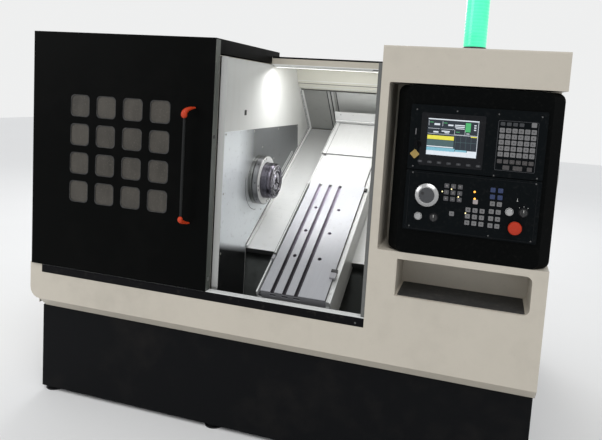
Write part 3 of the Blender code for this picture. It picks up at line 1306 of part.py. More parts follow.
def saddle():
    """Saddle on the bed ways, with the cross ways, screw blocks and the nut for the long feed."""
    floor = RISE_Z_WAY + GAP
    section = [(SADDLE_START, floor)]
    for start in (Z_WAY_FRONT, Z_WAY_BACK):
        for edge in (start - SIDE_CLEARANCE - SADDLE_KEEP_WIDTH, start + Z_WAY_WIDTH + SIDE_CLEARANCE):
            section += [
                (edge, floor), (edge, floor - SADDLE_KEEP_DROP),
                (edge + SADDLE_KEEP_WIDTH, floor - SADDLE_KEEP_DROP), (edge + SADDLE_KEEP_WIDTH, floor),
            ]
    section += [(SADDLE_END, floor), (SADDLE_END, RISE_SADDLE), (SADDLE_START, RISE_SADDLE)]
    made = prism("saddle", on_slope(section), "X", SADDLE_LEFT, SADDLE_RIGHT, "cast_iron")
    ways = [
        rect(left, left + X_WAY_WIDTH, RISE_SADDLE - OVERRUN, RISE_X_WAY)
        for left in (TOOL_PLATE_LEFT + X_WAY_INSET, TOOL_PLATE_RIGHT - X_WAY_INSET - X_WAY_WIDTH)
    ]
    first = SADDLE_START + X_WAY_SETBACK
    last = SADDLE_END - X_WAY_SETBACK
    add_to(made, tilt(prisms("add_x_ways", ways, "Y", first, last)))
    builder = bmesh.new()
    half = X_BLOCK_WIDTH / 2
    post = rect(X_SCREW_X - half, X_SCREW_X + half, RISE_SADDLE - OVERRUN, RISE_X_WAY - SIDE_CLEARANCE)
    for start in (first, last - X_BLOCK_LENGTH):
        add_prism(builder, post, "Y", start, start + X_BLOCK_LENGTH)
    add_to(made, tilt(finish_object("add_cross_blocks", builder, None)))
    bore = turned(
        "cut_x_screw_bore",
        rod(SADDLE_START - OVERRUN, SADDLE_END + OVERRUN, bore_for(X_SCREW_RADIUS, SMALL_SEGMENTS)),
        (0, 0, 0), axis="Y", segments=SMALL_SEGMENTS,
    )
    place_on_slope(bore, X_SCREW_X, X_SCREW_RISE)
    shape_with(made, bore)
    nut_half = Z_NUT_WIDTH / 2
    middle = (SADDLE_LEFT + SADDLE_RIGHT) / 2
    nut = on_slope(rect(
        Z_SCREW_ALONG - nut_half, Z_SCREW_ALONG + nut_half, RISE_BED + SIDE_CLEARANCE, floor + OVERRUN,
    ))
    add_to(made, prism("add_z_nut", nut, "X", middle - Z_NUT_LENGTH / 2, middle + Z_NUT_LENGTH / 2))
    cut = rod(middle - Z_NUT_LENGTH, middle + Z_NUT_LENGTH, bore_for(Z_SCREW_RADIUS, SMALL_SEGMENTS))
    centre = (0, *slope(Z_SCREW_ALONG, Z_SCREW_RISE))
    nut_bore = turned("cut_z_nut_bore", cut, centre, segments=SMALL_SEGMENTS)
    return shape_with(made, nut_bore)


def place_on_slope(made, left, rise):
    y, z = slope(0, rise)
    made.location = (left, y, z)
    made.rotation_euler = Euler((SLANT, 0, 0))
    return made


def cross_slide():
    """Slide on the cross ways, with gutters, side skirts and the cross feed nut."""
    top = RISE_SLIDE - GAP
    flange = top - SLIDE_FLANGE
    low = RISE_X_WAY + GAP
    leg_low = RISE_SADDLE + SIDE_CLEARANCE
    lip_top = -SLIDE_LIP_DROP
    outer_left = TOOL_PLATE_LEFT - SLIDE_GUTTER
    outer_right = TOOL_PLATE_RIGHT + SLIDE_GUTTER
    lip = SLIDE_LIP_WIDTH
    section = [
        (outer_left, leg_low), (outer_left, lip_top), (outer_left + lip, lip_top), (outer_left + lip, top),
        (outer_right - lip, top), (outer_right - lip, lip_top), (outer_right, lip_top),
        (outer_right, leg_low), (outer_right - lip, leg_low), (outer_right - lip, flange),
        (TOOL_PLATE_RIGHT, flange), (TOOL_PLATE_RIGHT, leg_low), (TOOL_PLATE_RIGHT - SLIDE_LEG, leg_low),
        (TOOL_PLATE_RIGHT - SLIDE_LEG, low), (TOOL_PLATE_LEFT + SLIDE_LEG, low),
        (TOOL_PLATE_LEFT + SLIDE_LEG, leg_low), (TOOL_PLATE_LEFT, leg_low), (TOOL_PLATE_LEFT, flange),
        (outer_left + lip, flange), (outer_left + lip, leg_low),
    ]
    made = tilt(prism("cross_slide", section, "Y", 0, TOOL_PLATE_LENGTH, "cast_iron"))
    half = X_NUT_WIDTH / 2
    nut = rect(X_SCREW_X - half, X_SCREW_X + half, RISE_SADDLE + SIDE_CLEARANCE, low + OVERRUN)
    add_to(made, tilt(prism("add_x_nut", nut, "Y", X_NUT_START, X_NUT_START + X_NUT_LENGTH)))
    nut_end = X_NUT_START + X_NUT_LENGTH
    cut = rod(X_NUT_START - OVERRUN, nut_end + OVERRUN, bore_for(X_SCREW_RADIUS, SMALL_SEGMENTS))
    bore = turned("cut_x_nut_bore", cut, (0, 0, 0), axis="Y", segments=SMALL_SEGMENTS)
    return shape_with(made, place_on_slope(bore, X_SCREW_X, X_SCREW_RISE))


def tool_plate():
    """Ground plate with T-slots and its bolt holes."""
    section = [(TOOL_PLATE_LEFT, RISE_SLIDE), (TOOL_PLATE_RIGHT, RISE_SLIDE), (TOOL_PLATE_RIGHT, 0)]
    for index in reversed(range(SLOT_COUNT)):
        middle = TOOL_PLATE_LEFT + SLOT_FIRST + index * SLOT_PITCH
        neck = SLOT_WIDTH / 2
        head = SLOT_HEAD_WIDTH / 2
        deep = -SLOT_NECK - SLOT_HEAD_HEIGHT
        section += [
            (middle + neck, 0), (middle + neck, -SLOT_NECK), (middle + head, -SLOT_NECK),
            (middle + head, deep), (middle - head, deep), (middle - head, -SLOT_NECK),
            (middle - neck, -SLOT_NECK), (middle - neck, 0),
        ]
    section += [(TOOL_PLATE_LEFT, 0)]
    made = tilt(prism("tool_plate", section, "Y", 0, TOOL_PLATE_LENGTH, "ground_steel"))
    builder = bmesh.new()
    for column in range(2):
        for row in range(BOLT_ROW_COUNT):
            across = TOOL_PLATE_LEFT + BOLT_COLUMN_OFFSET + column * BOLT_COLUMN_PITCH
            along = BOLT_ROW_FIRST + row * BOLT_ROW_PITCH
            ring = circle((across, along), BOLT_HOLE_RADIUS, 2 * ROUND_STEPS)
            add_prism(builder, ring, "Z", -BOLT_HOLE_DEPTH, OVERRUN)
    return shape_with(made, tilt(finish_object("cut_bolt_holes", builder, None)))


def slide_cover():
    """Cover behind the tool plate that slides under the hood."""
    left = TOOL_PLATE_LEFT + SLIDE_COVER_INSET
    right = TOOL_PLATE_RIGHT - SLIDE_COVER_INSET
    top = -SLIDE_COVER_DROP
    low = top - SLIDE_COVER_SKIRT
    path = [(left, low), (left, top), (right, top), (right, low)]
    start = TOOL_PLATE_LENGTH + GAP
    outline = ribbon(path[::-1], THIN_SHEET)
    return tilt(prism("slide_cover", outline, "Y", start, start + SLIDE_COVER_LENGTH, "stainless"))


def rear_shield():
    """Hood over the back of the cross slide with an upright shield at its end."""
    left = TOOL_PLATE_LEFT - SLIDE_GUTTER
    right = TOOL_PLATE_RIGHT + SLIDE_GUTTER
    top = -HOOD_DROP
    low = RISE_SADDLE + GAP
    path = [(left, low), (left, top), (right, top), (right, low)]
    made = tilt(prism("rear_shield", ribbon(path[::-1], THIN_SHEET), "Y", HOOD_START, HOOD_END, "stainless"))
    upright = [
        (HOOD_END - THIN_SHEET, top - THIN_SHEET / 2), (HOOD_END, top - THIN_SHEET / 2),
        (HOOD_END - SHIELD_LEAN, SHIELD_RISE), (HOOD_END - SHIELD_LEAN - THIN_SHEET, SHIELD_RISE),
    ]
    return add_to(made, prism("add_shield", on_slope(upright), "X", left, right))


def way_cover(name, start, length, depth):
    """Folded cover over the bed ways with a lip at its lower edge."""
    top = -COVER_DROP - depth
    along = COVER_START + depth
    path = [(along, top - COVER_LIP), (along, top), (COVER_END - depth, top)]
    outline = on_slope(ribbon(path[::-1], THIN_SHEET))
    return prism(name, outline, "X", start, start + length, "stainless")


def x_screw():
    made = turned(
        "x_screw", rod(SADDLE_START + X_WAY_SETBACK, SADDLE_END, X_SCREW_RADIUS), (0, 0, 0), axis="Y",
        material="ground_steel", segments=SMALL_SEGMENTS,
    )
    return place_on_slope(made, X_SCREW_X, X_SCREW_RISE)


def z_screw():
    return turned(
        "z_screw", rod(Z_WAY_START, BED_RIGHT, Z_SCREW_RADIUS), (0, *slope(Z_SCREW_ALONG, Z_SCREW_RISE)),
        material="ground_steel", segments=SMALL_SEGMENTS,
    )


def chamfered_square(across, up, size, chamfer):
    half = size / 2
    near = half - chamfer
    return [
        (across - near, up - half), (across + near, up - half), (across + half, up - near),
        (across + half, up + near), (across + near, up + half), (across - near, up + half),
        (across - half, up + near), (across - half, up - near),
    ]


def x_motor():
    outline = chamfered_square(X_SCREW_X, X_SCREW_RISE, X_MOTOR_SIZE, MOTOR_CHAMFER)
    start = SADDLE_END + GAP
    return tilt(prism("x_motor", outline, "Y", start, start + X_MOTOR_LENGTH, "motor_black"))


def z_motor():
    ring = chamfered_square(Z_SCREW_ALONG, Z_SCREW_RISE, Z_MOTOR_SIZE, MOTOR_CHAMFER)
    start = BED_RIGHT + GAP
    return prism("z_motor", on_slope(ring), "X", start, start + Z_MOTOR_LENGTH, "motor_black")


# Controls

def control_box():
    """Housing set into the column, its front edges sloping back at both sides."""
    low = RECESS_BOTTOM + BOX_BOTTOM_GAP
    high = RECESS_TOP - BOX_TOP_GAP
    outline = rounded_rect(BOX_LEFT, BOX_RIGHT, low, high, BOX_ROUND)
    builder = bmesh.new()
    rings = []
    middle = (BOX_LEFT + BOX_RIGHT) / 2
    spots = ((RECESS_DEPTH - GAP, 0, 0), (BOX_BEVEL_DEPTH, 0, 0), (0, BOX_LEFT_BEVEL, BOX_RIGHT_BEVEL))
    for depth, in_left, in_right in spots:
        ring = []
        for across, up in outline:
            reach = in_left if across < middle else -in_right
            ring.append(builder.verts.new((across + reach, depth, up)))
        rings.append(ring)
    count = len(outline)
    for first, second in zip(rings, rings[1:]):
        for index in range(count):
            after = (index + 1) % count
            builder.faces.new((first[index], first[after], second[after], second[index]))
    builder.faces.new(rings[0])
    builder.faces.new(rings[-1])
    return finish_object("control_box", builder, "box_plastic")


def add_keys(builder, left, top, columns, rows, pitch, size, front):
    """Raised keys standing out of a panel's front."""
    for column in range(columns):
        for row in range(rows):
            across = left + column * pitch
            high = top - row * pitch
            key = rect(across, across + size, high - size, high)
            add_prism(builder, key, "Y", front - KEY_RAISE, front + UNIT_THICK / 2)


def upper_unit():
    """Display unit with a screen window and membrane keys raised in its front."""
    front = -UNIT_THICK
    outline = rounded_rect(UPPER_LEFT, UPPER_RIGHT, UPPER_BOTTOM, UPPER_TOP, UNIT_ROUND)
    made = prism("upper_unit", outline, "Y", front, -GAP, "grey_plastic")
    window = rect(SCREEN_LEFT, SCREEN_RIGHT, SCREEN_BOTTOM, SCREEN_TOP)
    shape_with(made, prism("cut_screen", window, "Y", front - OVERRUN, front + SCREEN_RECESS + SCREEN_THICK))
    builder = bmesh.new()
    letters = UPPER_LEFT + ALPHA_ACROSS
    softs = UPPER_LEFT + SOFT_ACROSS
    add_keys(builder, letters, ALPHA_TOP, ALPHA_COLUMNS, ALPHA_ROWS, KEY_PITCH, KEY_SIZE, front)
    add_keys(builder, softs, SOFT_HEIGHT, SOFT_COUNT, 1, SOFT_PITCH, KEY_SIZE, front)
    add_to(made, finish_object("add_upper_keys", builder, None))
    return made


def screen():
    front = SCREEN_RECESS - UNIT_THICK
    outline = rect(SCREEN_LEFT + GAP, SCREEN_RIGHT - GAP, SCREEN_BOTTOM + GAP, SCREEN_TOP - GAP)
    return prism("screen", outline, "Y", front, front + SCREEN_THICK - GAP, "screen_glass")


def lower_unit():
    """Operator unit with key fields and the holes of its dial, knobs and buttons."""
    front = -UNIT_THICK
    outline = rounded_rect(UPPER_LEFT, UPPER_RIGHT, LOWER_BOTTOM, LOWER_TOP, UNIT_ROUND)
    made = prism("lower_unit", outline, "Y", front, -GAP, "grey_plastic")
    builder = bmesh.new()
    for across, up, columns, rows in zip(FIELD_ACROSS, FIELD_TOPS_UP, FIELD_COLUMNS, FIELD_ROWS):
        left = UPPER_LEFT + across
        add_keys(builder, left, UNIT_SPLIT + up, columns, rows, FIELD_PITCH, FIELD_KEY, front)
    add_to(made, finish_object("add_lower_keys", builder, None))
    builder = bmesh.new()
    for across, up in control_places():
        ring = circle((across, up), bore_for(SPIGOT_RADIUS, SMALL_SEGMENTS))
        add_prism(builder, ring, "Y", front - OVERRUN, front + SPIGOT_DEPTH + GAP)
    return shape_with(made, finish_object("cut_control_holes", builder, None))


def control_places():
    return (
        (DIAL_X, DIAL_Z), (BUTTON_LEFT_X, BUTTON_LEFT_Z), (BUTTON_RIGHT_X, BUTTON_RIGHT_Z),
        (SELECTOR_LEFT_X, SELECTOR_LEFT_Z), (SELECTOR_RIGHT_X, SELECTOR_RIGHT_Z), (STOP_X, STOP_Z),
    )


def knob(name, across, up, profile, material, segments=SMALL_SEGMENTS):
    """Turned control on the lower unit; the profile runs outwards from the unit's face."""
    outward = [(-run, radius) for run, radius in profile]
    return turned(name, outward, (across, -UNIT_THICK, up), "Y", material, segments)


def handwheel():
    bevel = DIAL_BEVEL
    profile = [
        (-SPIGOT_DEPTH, 0), (-SPIGOT_DEPTH, SPIGOT_RADIUS), (GAP, SPIGOT_RADIUS), (GAP, DIAL_RADIUS - bevel),
        (bevel, DIAL_RADIUS), (DIAL_THICK - bevel, DIAL_RADIUS), (DIAL_THICK, DIAL_RADIUS - bevel),
        (DIAL_THICK, 0),
    ]
    made = knob("handwheel", DIAL_X, DIAL_Z, profile, "silver_knob", FINE_SEGMENTS)
    dimple = circle((-DIAL_DIMPLE_OFFSET, 0), DIAL_DIMPLE_RADIUS, 2 * ROUND_STEPS)
    cutter = prism("cut_dial_dimple", dimple, "Y", -DIAL_THICK - OVERRUN, DIAL_DIMPLE_DEPTH - DIAL_THICK)
    cutter.location = (DIAL_X, -UNIT_THICK, DIAL_Z)
    return shape_with(made, cutter)


def push_button(name, across, up):
    sunk = -GAP - (SPIGOT_DEPTH - BUTTON_TRAVEL) / 2
    face = BUTTON_RAISE
    profile = [
        (sunk, 0), (sunk, SPIGOT_RADIUS), (BUTTON_TRAVEL + GAP, SPIGOT_RADIUS),
        (BUTTON_TRAVEL + GAP, BUTTON_RADIUS), (face - RUN_GAP, BUTTON_RADIUS),
        (face, BUTTON_RADIUS - RUN_GAP), (face, 0),
    ]
    return knob(name, across, up, profile, "silver_knob")


def selector(name, across, up):
    profile = [
        (-SPIGOT_DEPTH, 0), (-SPIGOT_DEPTH, SPIGOT_RADIUS), (GAP, SPIGOT_RADIUS), (GAP, SELECTOR_RADIUS),
        (SELECTOR_RAISE, SELECTOR_RADIUS), (SELECTOR_RAISE, 0),
    ]
    made = knob(name, across, up, profile, "grey_plastic")
    half = SELECTOR_GRIP_WIDTH / 2
    grip = rect(-half, half, -SELECTOR_RADIUS, SELECTOR_RADIUS)
    added = prism("add_" + name + "_grip", grip, "Y", -SELECTOR_RAISE - SELECTOR_GRIP, -SELECTOR_RAISE / 2)
    added.location = (across, -UNIT_THICK, up)
    return add_to(made, added)


def emergency_stop():
    neck = STOP_RAISE - STOP_HEAD
    profile = [
        (GAP - SPIGOT_DEPTH + STOP_TRAVEL, 0), (GAP - SPIGOT_DEPTH + STOP_TRAVEL, SPIGOT_RADIUS),
        (STOP_TRAVEL + GAP, SPIGOT_RADIUS), (STOP_TRAVEL + GAP, STOP_STEM_RADIUS), (neck, STOP_STEM_RADIUS),
        (neck, STOP_RADIUS), (STOP_RAISE - STOP_HEAD / 2, STOP_RADIUS),
        (STOP_RAISE - RUN_GAP, STOP_RADIUS / 2), (STOP_RAISE, 0),
    ]
    return knob("emergency_stop", STOP_X, STOP_Z, profile, "red_plastic")


def key_switch():
    """Key in its switch beside the screen."""
    barrel = rod(-KEY_BARREL_RAISE, 0, KEY_BARREL_RADIUS)
    place = (KEY_X, -UNIT_THICK - GAP, KEY_Z)
    made = turned("key_switch", barrel, place, "Y", "brass", SMALL_SEGMENTS)
    half = KEY_BOW_THICK / 2
    blade_half = KEY_BLADE_WIDTH / 2
    bow_half = KEY_BOW_HEIGHT / 2
    start = KEY_BARREL_RAISE
    middle = start + KEY_BLADE
    end = middle + KEY_BOW_WIDTH
    outline = [
        (GAP - start, -blade_half), (GAP - start, blade_half), (-middle, blade_half), (-middle, bow_half),
        (-end, bow_half), (-end, -bow_half), (-middle, -bow_half), (-middle, -blade_half),
    ]
    added = prism("add_key_bow", outline, "X", -half, half)
    added.location = place
    return add_to(made, added)


# Lights

def tower_light():
    """Ribbed lens with a foot and a domed end, on the column."""
    profile = [(0, 0), (0, TOWER_RADIUS)]
    usable = TOWER_HEIGHT - TOWER_FOOT - TOWER_DOME
    for index in range(TOWER_RINGS):
        low = TOWER_FOOT + usable * index / TOWER_RINGS
        high = low + TOWER_RING_HEIGHT
        groove = TOWER_RADIUS - TOWER_RING_DEPTH
        profile += [
            (low, TOWER_RADIUS), (low + RUN_GAP, groove), (high, groove), (high + RUN_GAP, TOWER_RADIUS),
        ]
    top = TOWER_HEIGHT
    profile += [
        (top - TOWER_DOME, TOWER_RADIUS), (top - TOWER_DOME / 3, TOWER_RADIUS - TOWER_DOME / 2),
        (top, TOWER_RADIUS - TOWER_DOME), (top, 0),
    ]
    return turned("tower_light", profile, (TOWER_X, TOWER_Y, CABINET_HEIGHT + GAP), "Z", "green_lens")


def work_lamp():
    """Flat lamp bar under the ceiling behind the lintel, its lens narrower than its back."""
    high = ROOF_HEIGHT - LINTEL_DROP - GAP
    front = LINTEL_SETBACK + LAMP_SETBACK
    back = front + LAMP_WIDTH
    low = high - LAMP_HEIGHT
    taper = LAMP_HEIGHT / 2
    outline = [(front, high), (front + taper, low), (back - taper, low), (back, high)]
    start = CHAMBER_LEFT + LAMP_INSET
    return prism("work_lamp", outline, "X", start, start + LAMP_LENGTH, "white_paint")


# Back of the machine

def electrical_tub():
    """Open tub behind the back door."""
    left = BACK_DOOR_LEFT - BACK_DOOR_OVERLAP
    right = BACK_DOOR_LEFT + BACK_DOOR_WIDTH + BACK_DOOR_OVERLAP
    low = BACK_DOOR_BOTTOM - BACK_DOOR_OVERLAP
    high = BACK_DOOR_BOTTOM + BACK_DOOR_HEIGHT + BACK_DOOR_OVERLAP
    back = CABINET_DEPTH - SHEET - GAP
    front = back - BACK_BOX_DEPTH
    made = prism("electrical_tub", rect(left, right, low, high), "Y", front, back, "cream_paint")
    inner = rect(left + THIN_SHEET, right - THIN_SHEET, low + THIN_SHEET, high - THIN_SHEET)
    return shape_with(made, prism("cut_tub", inner, "Y", front + THIN_SHEET, back + OVERRUN))


def back_door():
    """Flanged door of the electrical tub, hung at its right edge seen from the front."""
    start = CABINET_DEPTH + GAP
    face = CABINET_DEPTH + BACK_DOOR_THICK
    left, right = BACK_DOOR_LEFT, BACK_DOOR_LEFT + BACK_DOOR_WIDTH
    low, high = BACK_DOOR_BOTTOM, BACK_DOOR_BOTTOM + BACK_DOOR_HEIGHT
    made = prism("back_door", rect(left, right, low, high), "Y", start, face, "cream_paint")
    inner = rect(left + THIN_SHEET, right - THIN_SHEET, low + THIN_SHEET, high - THIN_SHEET)
    shape_with(made, prism("cut_door_inside", inner, "Y", start - OVERRUN, face - THIN_SHEET))
    middle = (low + high) / 2
    grip_left = left + 2 * BACK_HANDLE_WIDTH
    grip = rounded_rect(
        grip_left, grip_left + BACK_HANDLE_WIDTH, middle - BACK_HANDLE_HEIGHT / 2,
        middle + BACK_HANDLE_HEIGHT / 2, BACK_HANDLE_WIDTH / 3,
    )
    add_to(made, prism("add_back_grip", grip, "Y", face - THIN_SHEET / 2, CABINET_DEPTH + BACK_REACH))
    return move_origin(made, (right, face, low))


def coolant_tank():
    """Open tank in the base tunnel with a half lid, a pump on it and a grip at the back."""
    left = TUNNEL_LEFT + TANK_CLEARANCE
    right = TUNNEL_RIGHT - TANK_CLEARANCE
    front = TUNNEL_FRONT + TANK_DEPTH_GAP
    back = CABINET_DEPTH - BASE_BACK_INSET
    low = TUNNEL_FLOOR + GAP
    high = TUNNEL_TOP - TANK_PUMP_HEIGHT - TANK_CLEARANCE
    made = block("coolant_tank", left, right, front, back, low, high, "tank_paint")
    wall = TANK_WALL
    lid_front = back - TANK_LID_DEPTH
    basin = block(
        "cut_tank", left + wall, right - wall, front + wall, lid_front, low + wall, high + OVERRUN,
    )
    shape_with(made, basin)
    under_lid = block(
        "cut_tank_under_lid", left + wall, right - wall, lid_front - OVERRUN, back - wall, low + wall,
        high - wall,
    )
    shape_with(made, under_lid)
    half_lid = TANK_LID_DEPTH / 2
    ring = circle((right - half_lid, back - half_lid), TANK_PUMP_RADIUS)
    add_to(made, prism("add_pump", ring, "Z", high - wall / 2, high + TANK_PUMP_HEIGHT))
    middle = (left + right) / 2
    half = TANK_GRIP_WIDTH / 2
    slot = rect(middle - half, middle + half, high - 2 * TANK_GRIP_HEIGHT, high - TANK_GRIP_HEIGHT)
    return shape_with(made, prism("cut_tank_grip", slot, "Y", back - 2 * wall, back + OVERRUN))


def build_machine():
    clear_scene()
    machine = bpy.data.objects.new("machine", None)
    bpy.context.scene.collection.objects.link(machine)
    machine.location = (LEFT_SIDE, FRONT_PLANE, 0)
    base_frame()
    bed_casting()
    chip_pan()
    front_frame()
    left_cover()
    rear_cover()
    right_cover()
    lintel()
    bulkhead()
    spindle_plate()
    bulkhead_trim()
    inner_rear_panel()
    inner_right_wall()
    column_seal()
    sill_strip()
    door_rail()
    top_rail()
    door_panel()
    door_glass()
    handle_bar()
    handle_cap("handle_cap_top", HANDLE_TOP, -1)
    handle_cap("handle_cap_bottom", HANDLE_BOTTOM, 1)
    headstock()
    bearing_cover()
    spindle_shaft()
    nose_cap()
    collet()
    spindle_pulley()
    spindle_motor()
    motor_pulley()
    drive_belt()
    saddle()
    cross_slide()
    tool_plate()
    slide_cover()
    rear_shield()
    way_cover("way_cover_left", SADDLE_LEFT - GAP - COVER_LENGTH, COVER_LENGTH, 0)
    way_cover("way_cover_right", SADDLE_RIGHT + GAP, COVER_LENGTH, 0)
    way_cover("way_cover_left_mid", COVER_LEFT_MID_START, COVER_LEFT_MID_LENGTH, COVER_NEST)
    way_cover("way_cover_right_mid", COVER_RIGHT_MID_START, COVER_RIGHT_MID_LENGTH, COVER_NEST)
    x_screw()
    z_screw()
    x_motor()
    z_motor()
    control_box()
    upper_unit()
    screen()
    lower_unit()
    handwheel()
    push_button("button_left", BUTTON_LEFT_X, BUTTON_LEFT_Z)
    push_button("button_right", BUTTON_RIGHT_X, BUTTON_RIGHT_Z)
    selector("selector_left", SELECTOR_LEFT_X, SELECTOR_LEFT_Z)
    selector("selector_right", SELECTOR_RIGHT_X, SELECTOR_RIGHT_Z)
    emergency_stop()
    key_switch()
    tower_light()
    work_lamp()
    electrical_tub()
    back_door()
    coolant_tank()


build_machine()
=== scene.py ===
"""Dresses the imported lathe: finishes for every node and the detailed pieces round them."""

from math import cos, pi, radians, sin, tau

import bmesh
import bpy
from bpy.props import FloatProperty, FloatVectorProperty, IntProperty, PointerProperty
from mathutils import Matrix, Vector


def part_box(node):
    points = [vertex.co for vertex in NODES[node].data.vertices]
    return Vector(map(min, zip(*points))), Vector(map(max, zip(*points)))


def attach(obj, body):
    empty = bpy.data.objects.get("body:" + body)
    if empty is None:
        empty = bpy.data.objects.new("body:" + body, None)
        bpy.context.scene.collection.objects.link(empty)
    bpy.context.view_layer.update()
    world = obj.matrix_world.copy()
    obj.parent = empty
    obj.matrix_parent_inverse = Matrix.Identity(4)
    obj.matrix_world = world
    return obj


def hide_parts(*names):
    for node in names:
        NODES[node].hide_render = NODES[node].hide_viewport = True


bl_info = {
    "name": "Slant bed lathe dresser",
    "version": (1, 0, 0),
    "blender": (4, 5, 0),
    "location": "3D View > Sidebar > Lathe",
    "description": "Adds finishes and detailed pieces to the packed slant bed lathe",
    "category": "Object",
}

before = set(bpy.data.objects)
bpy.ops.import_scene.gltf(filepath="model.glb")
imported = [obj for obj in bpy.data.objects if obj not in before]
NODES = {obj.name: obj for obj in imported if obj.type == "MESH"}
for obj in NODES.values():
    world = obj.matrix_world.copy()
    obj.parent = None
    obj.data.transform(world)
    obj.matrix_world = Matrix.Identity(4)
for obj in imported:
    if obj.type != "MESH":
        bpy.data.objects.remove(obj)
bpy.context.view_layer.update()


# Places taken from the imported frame

def low(node):
    return Vector(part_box(node)[0])


def high(node):
    return Vector(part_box(node)[1])


LEFT_SIDE = low("rear_cover").x
FRONT_PLANE = low("sill_strip").y
SLANT = radians(30)
TOE = Vector((0, low("tool_plate").y, low("tool_plate").z + 0.04 * cos(SLANT)))
MACHINE = Matrix.Translation((LEFT_SIDE, FRONT_PLANE, 0))
ON_SLOPE = Matrix.Translation(Vector((LEFT_SIDE, TOE.y, TOE.z))) @ Matrix.Rotation(SLANT, 4, "X")
SPINDLE = (low("nose_cap") + high("nose_cap")) / 2
NOSE_END = high("nose_cap").x


def at(across, deep, up):
    """World point from machine lengths: right of the left side, behind the front plane, up."""
    return Vector((LEFT_SIDE + across, FRONT_PLANE + deep, up))


def span(node):
    """A node's left and right ends, in machine lengths."""
    return low(node).x - LEFT_SIDE, high(node).x - LEFT_SIDE


def slope_spot(along, rise):
    """Depth and height, in machine lengths, of a place on the slanted bed."""
    spot = ON_SLOPE @ Vector((0, along, rise))
    return spot.y - FRONT_PLANE, spot.z


# Settings a user may change

def length(name, description, default):
    return FloatProperty(name=name, description=description, default=default, unit="LENGTH", min=0)


def colour(name, description, default):
    return FloatVectorProperty(
        name=name, description=description, default=default, subtype="COLOR", size=3, min=0, max=1,
    )


class LatheColours(bpy.types.PropertyGroup):
    """Colours of the finishes."""
    cream: colour("Cream", "Enamel of the cabinet", (0.52, 0.478, 0.405))
    black: colour("Black", "Enamel of the door", (0.0016, 0.0018, 0.0017))
    base: colour("Base black", "Enamel of the base", (0.0042, 0.0045, 0.0052))
    white: colour("White", "Enamel of the chamber", (0.78, 0.785, 0.765))
    stainless: colour("Stainless", "Bare sheet in the chamber", (0.17, 0.178, 0.184))
    ground: colour("Ground steel", "Tool plate", (0.33, 0.335, 0.355))
    orange: colour("Orange", "End caps of the door handle", (0.5, 0.044, 0.012))
    red: colour("Red", "Emergency stop", (0.42, 0.028, 0.008))
    green: colour("Green", "Lit tower light", (0.01, 0.9, 0.42))
    floor: colour("Floor", "Floor under the machine", (0.82, 0.82, 0.815))


class LatheSizes(bpy.types.PropertyGroup):
    """Sizes of the added pieces."""
    screw: length("Screw", "Radius of a cover screw's head", 0.0048)
    gasket: length("Gasket", "Width of the rubber round a window", 0.003)
    key_rise: length("Key rise", "How far a key stands out of its film", 0.0022)
    key_round: length("Key round", "Corner radius of a key", 0.0022)
    edge: length("Edge", "Width of a small broken edge", 0.0012)
    facets: IntProperty(name="Facets", description="Sides of a large round", default=96, min=24)


class LatheView(bpy.types.PropertyGroup):
    """Where the picture is taken from."""
    eye: FloatVectorProperty(
        name="Eye", description="Camera's place in the machine's own lengths", default=(1.891, -2.104, 1.418),
        subtype="TRANSLATION", unit="LENGTH",
    )
    yaw: FloatProperty(name="Yaw", description="Turn to the left", default=radians(16.32), subtype="ANGLE")
    pitch: FloatProperty(name="Pitch", description="Tilt down", default=radians(6.0), subtype="ANGLE")
    roll: FloatProperty(
        name="Roll", description="Tilt of the horizon", default=radians(3.61), subtype="ANGLE",
    )
    lens: FloatProperty(name="Lens", description="Focal length in millimetres", default=35.56, min=1)
    shift_x: FloatProperty(name="Shift across", description="Lens shift across", default=-0.0241)
    shift_y: FloatProperty(name="Shift up", description="Lens shift up", default=-0.108)


# Materials

class Wire:
    """An output socket; arithmetic on it adds Math nodes."""

    def __init__(self, finish, socket):
        self.finish = finish
        self.socket = socket

    def maths(self, operation, first, second, clamp=False):
        return self.finish.node(
            "ShaderNodeMath", {"operation": operation, "use_clamp": clamp}, {0: first, 1: second},
        )

    def __add__(self, other):
        return self.maths("ADD", self, other)

    __radd__ = __add__

    def __sub__(self, other):
        return self.maths("SUBTRACT", self, other)

    def __rsub__(self, other):
        return self.maths("SUBTRACT", other, self)

    def __mul__(self, other):
        return self.maths("MULTIPLY", self, other)

    __rmul__ = __mul__

    def __truediv__(self, other):
        return self.maths("DIVIDE", self, other)

    def __gt__(self, other):
        return self.maths("GREATER_THAN", self, other)

    def __mod__(self, other):
        return self.maths("FLOORED_MODULO", self, other)

    def held(self):
        """The same value kept between 0 and 1."""
        return self.maths("ADD", self, 0.0, True)


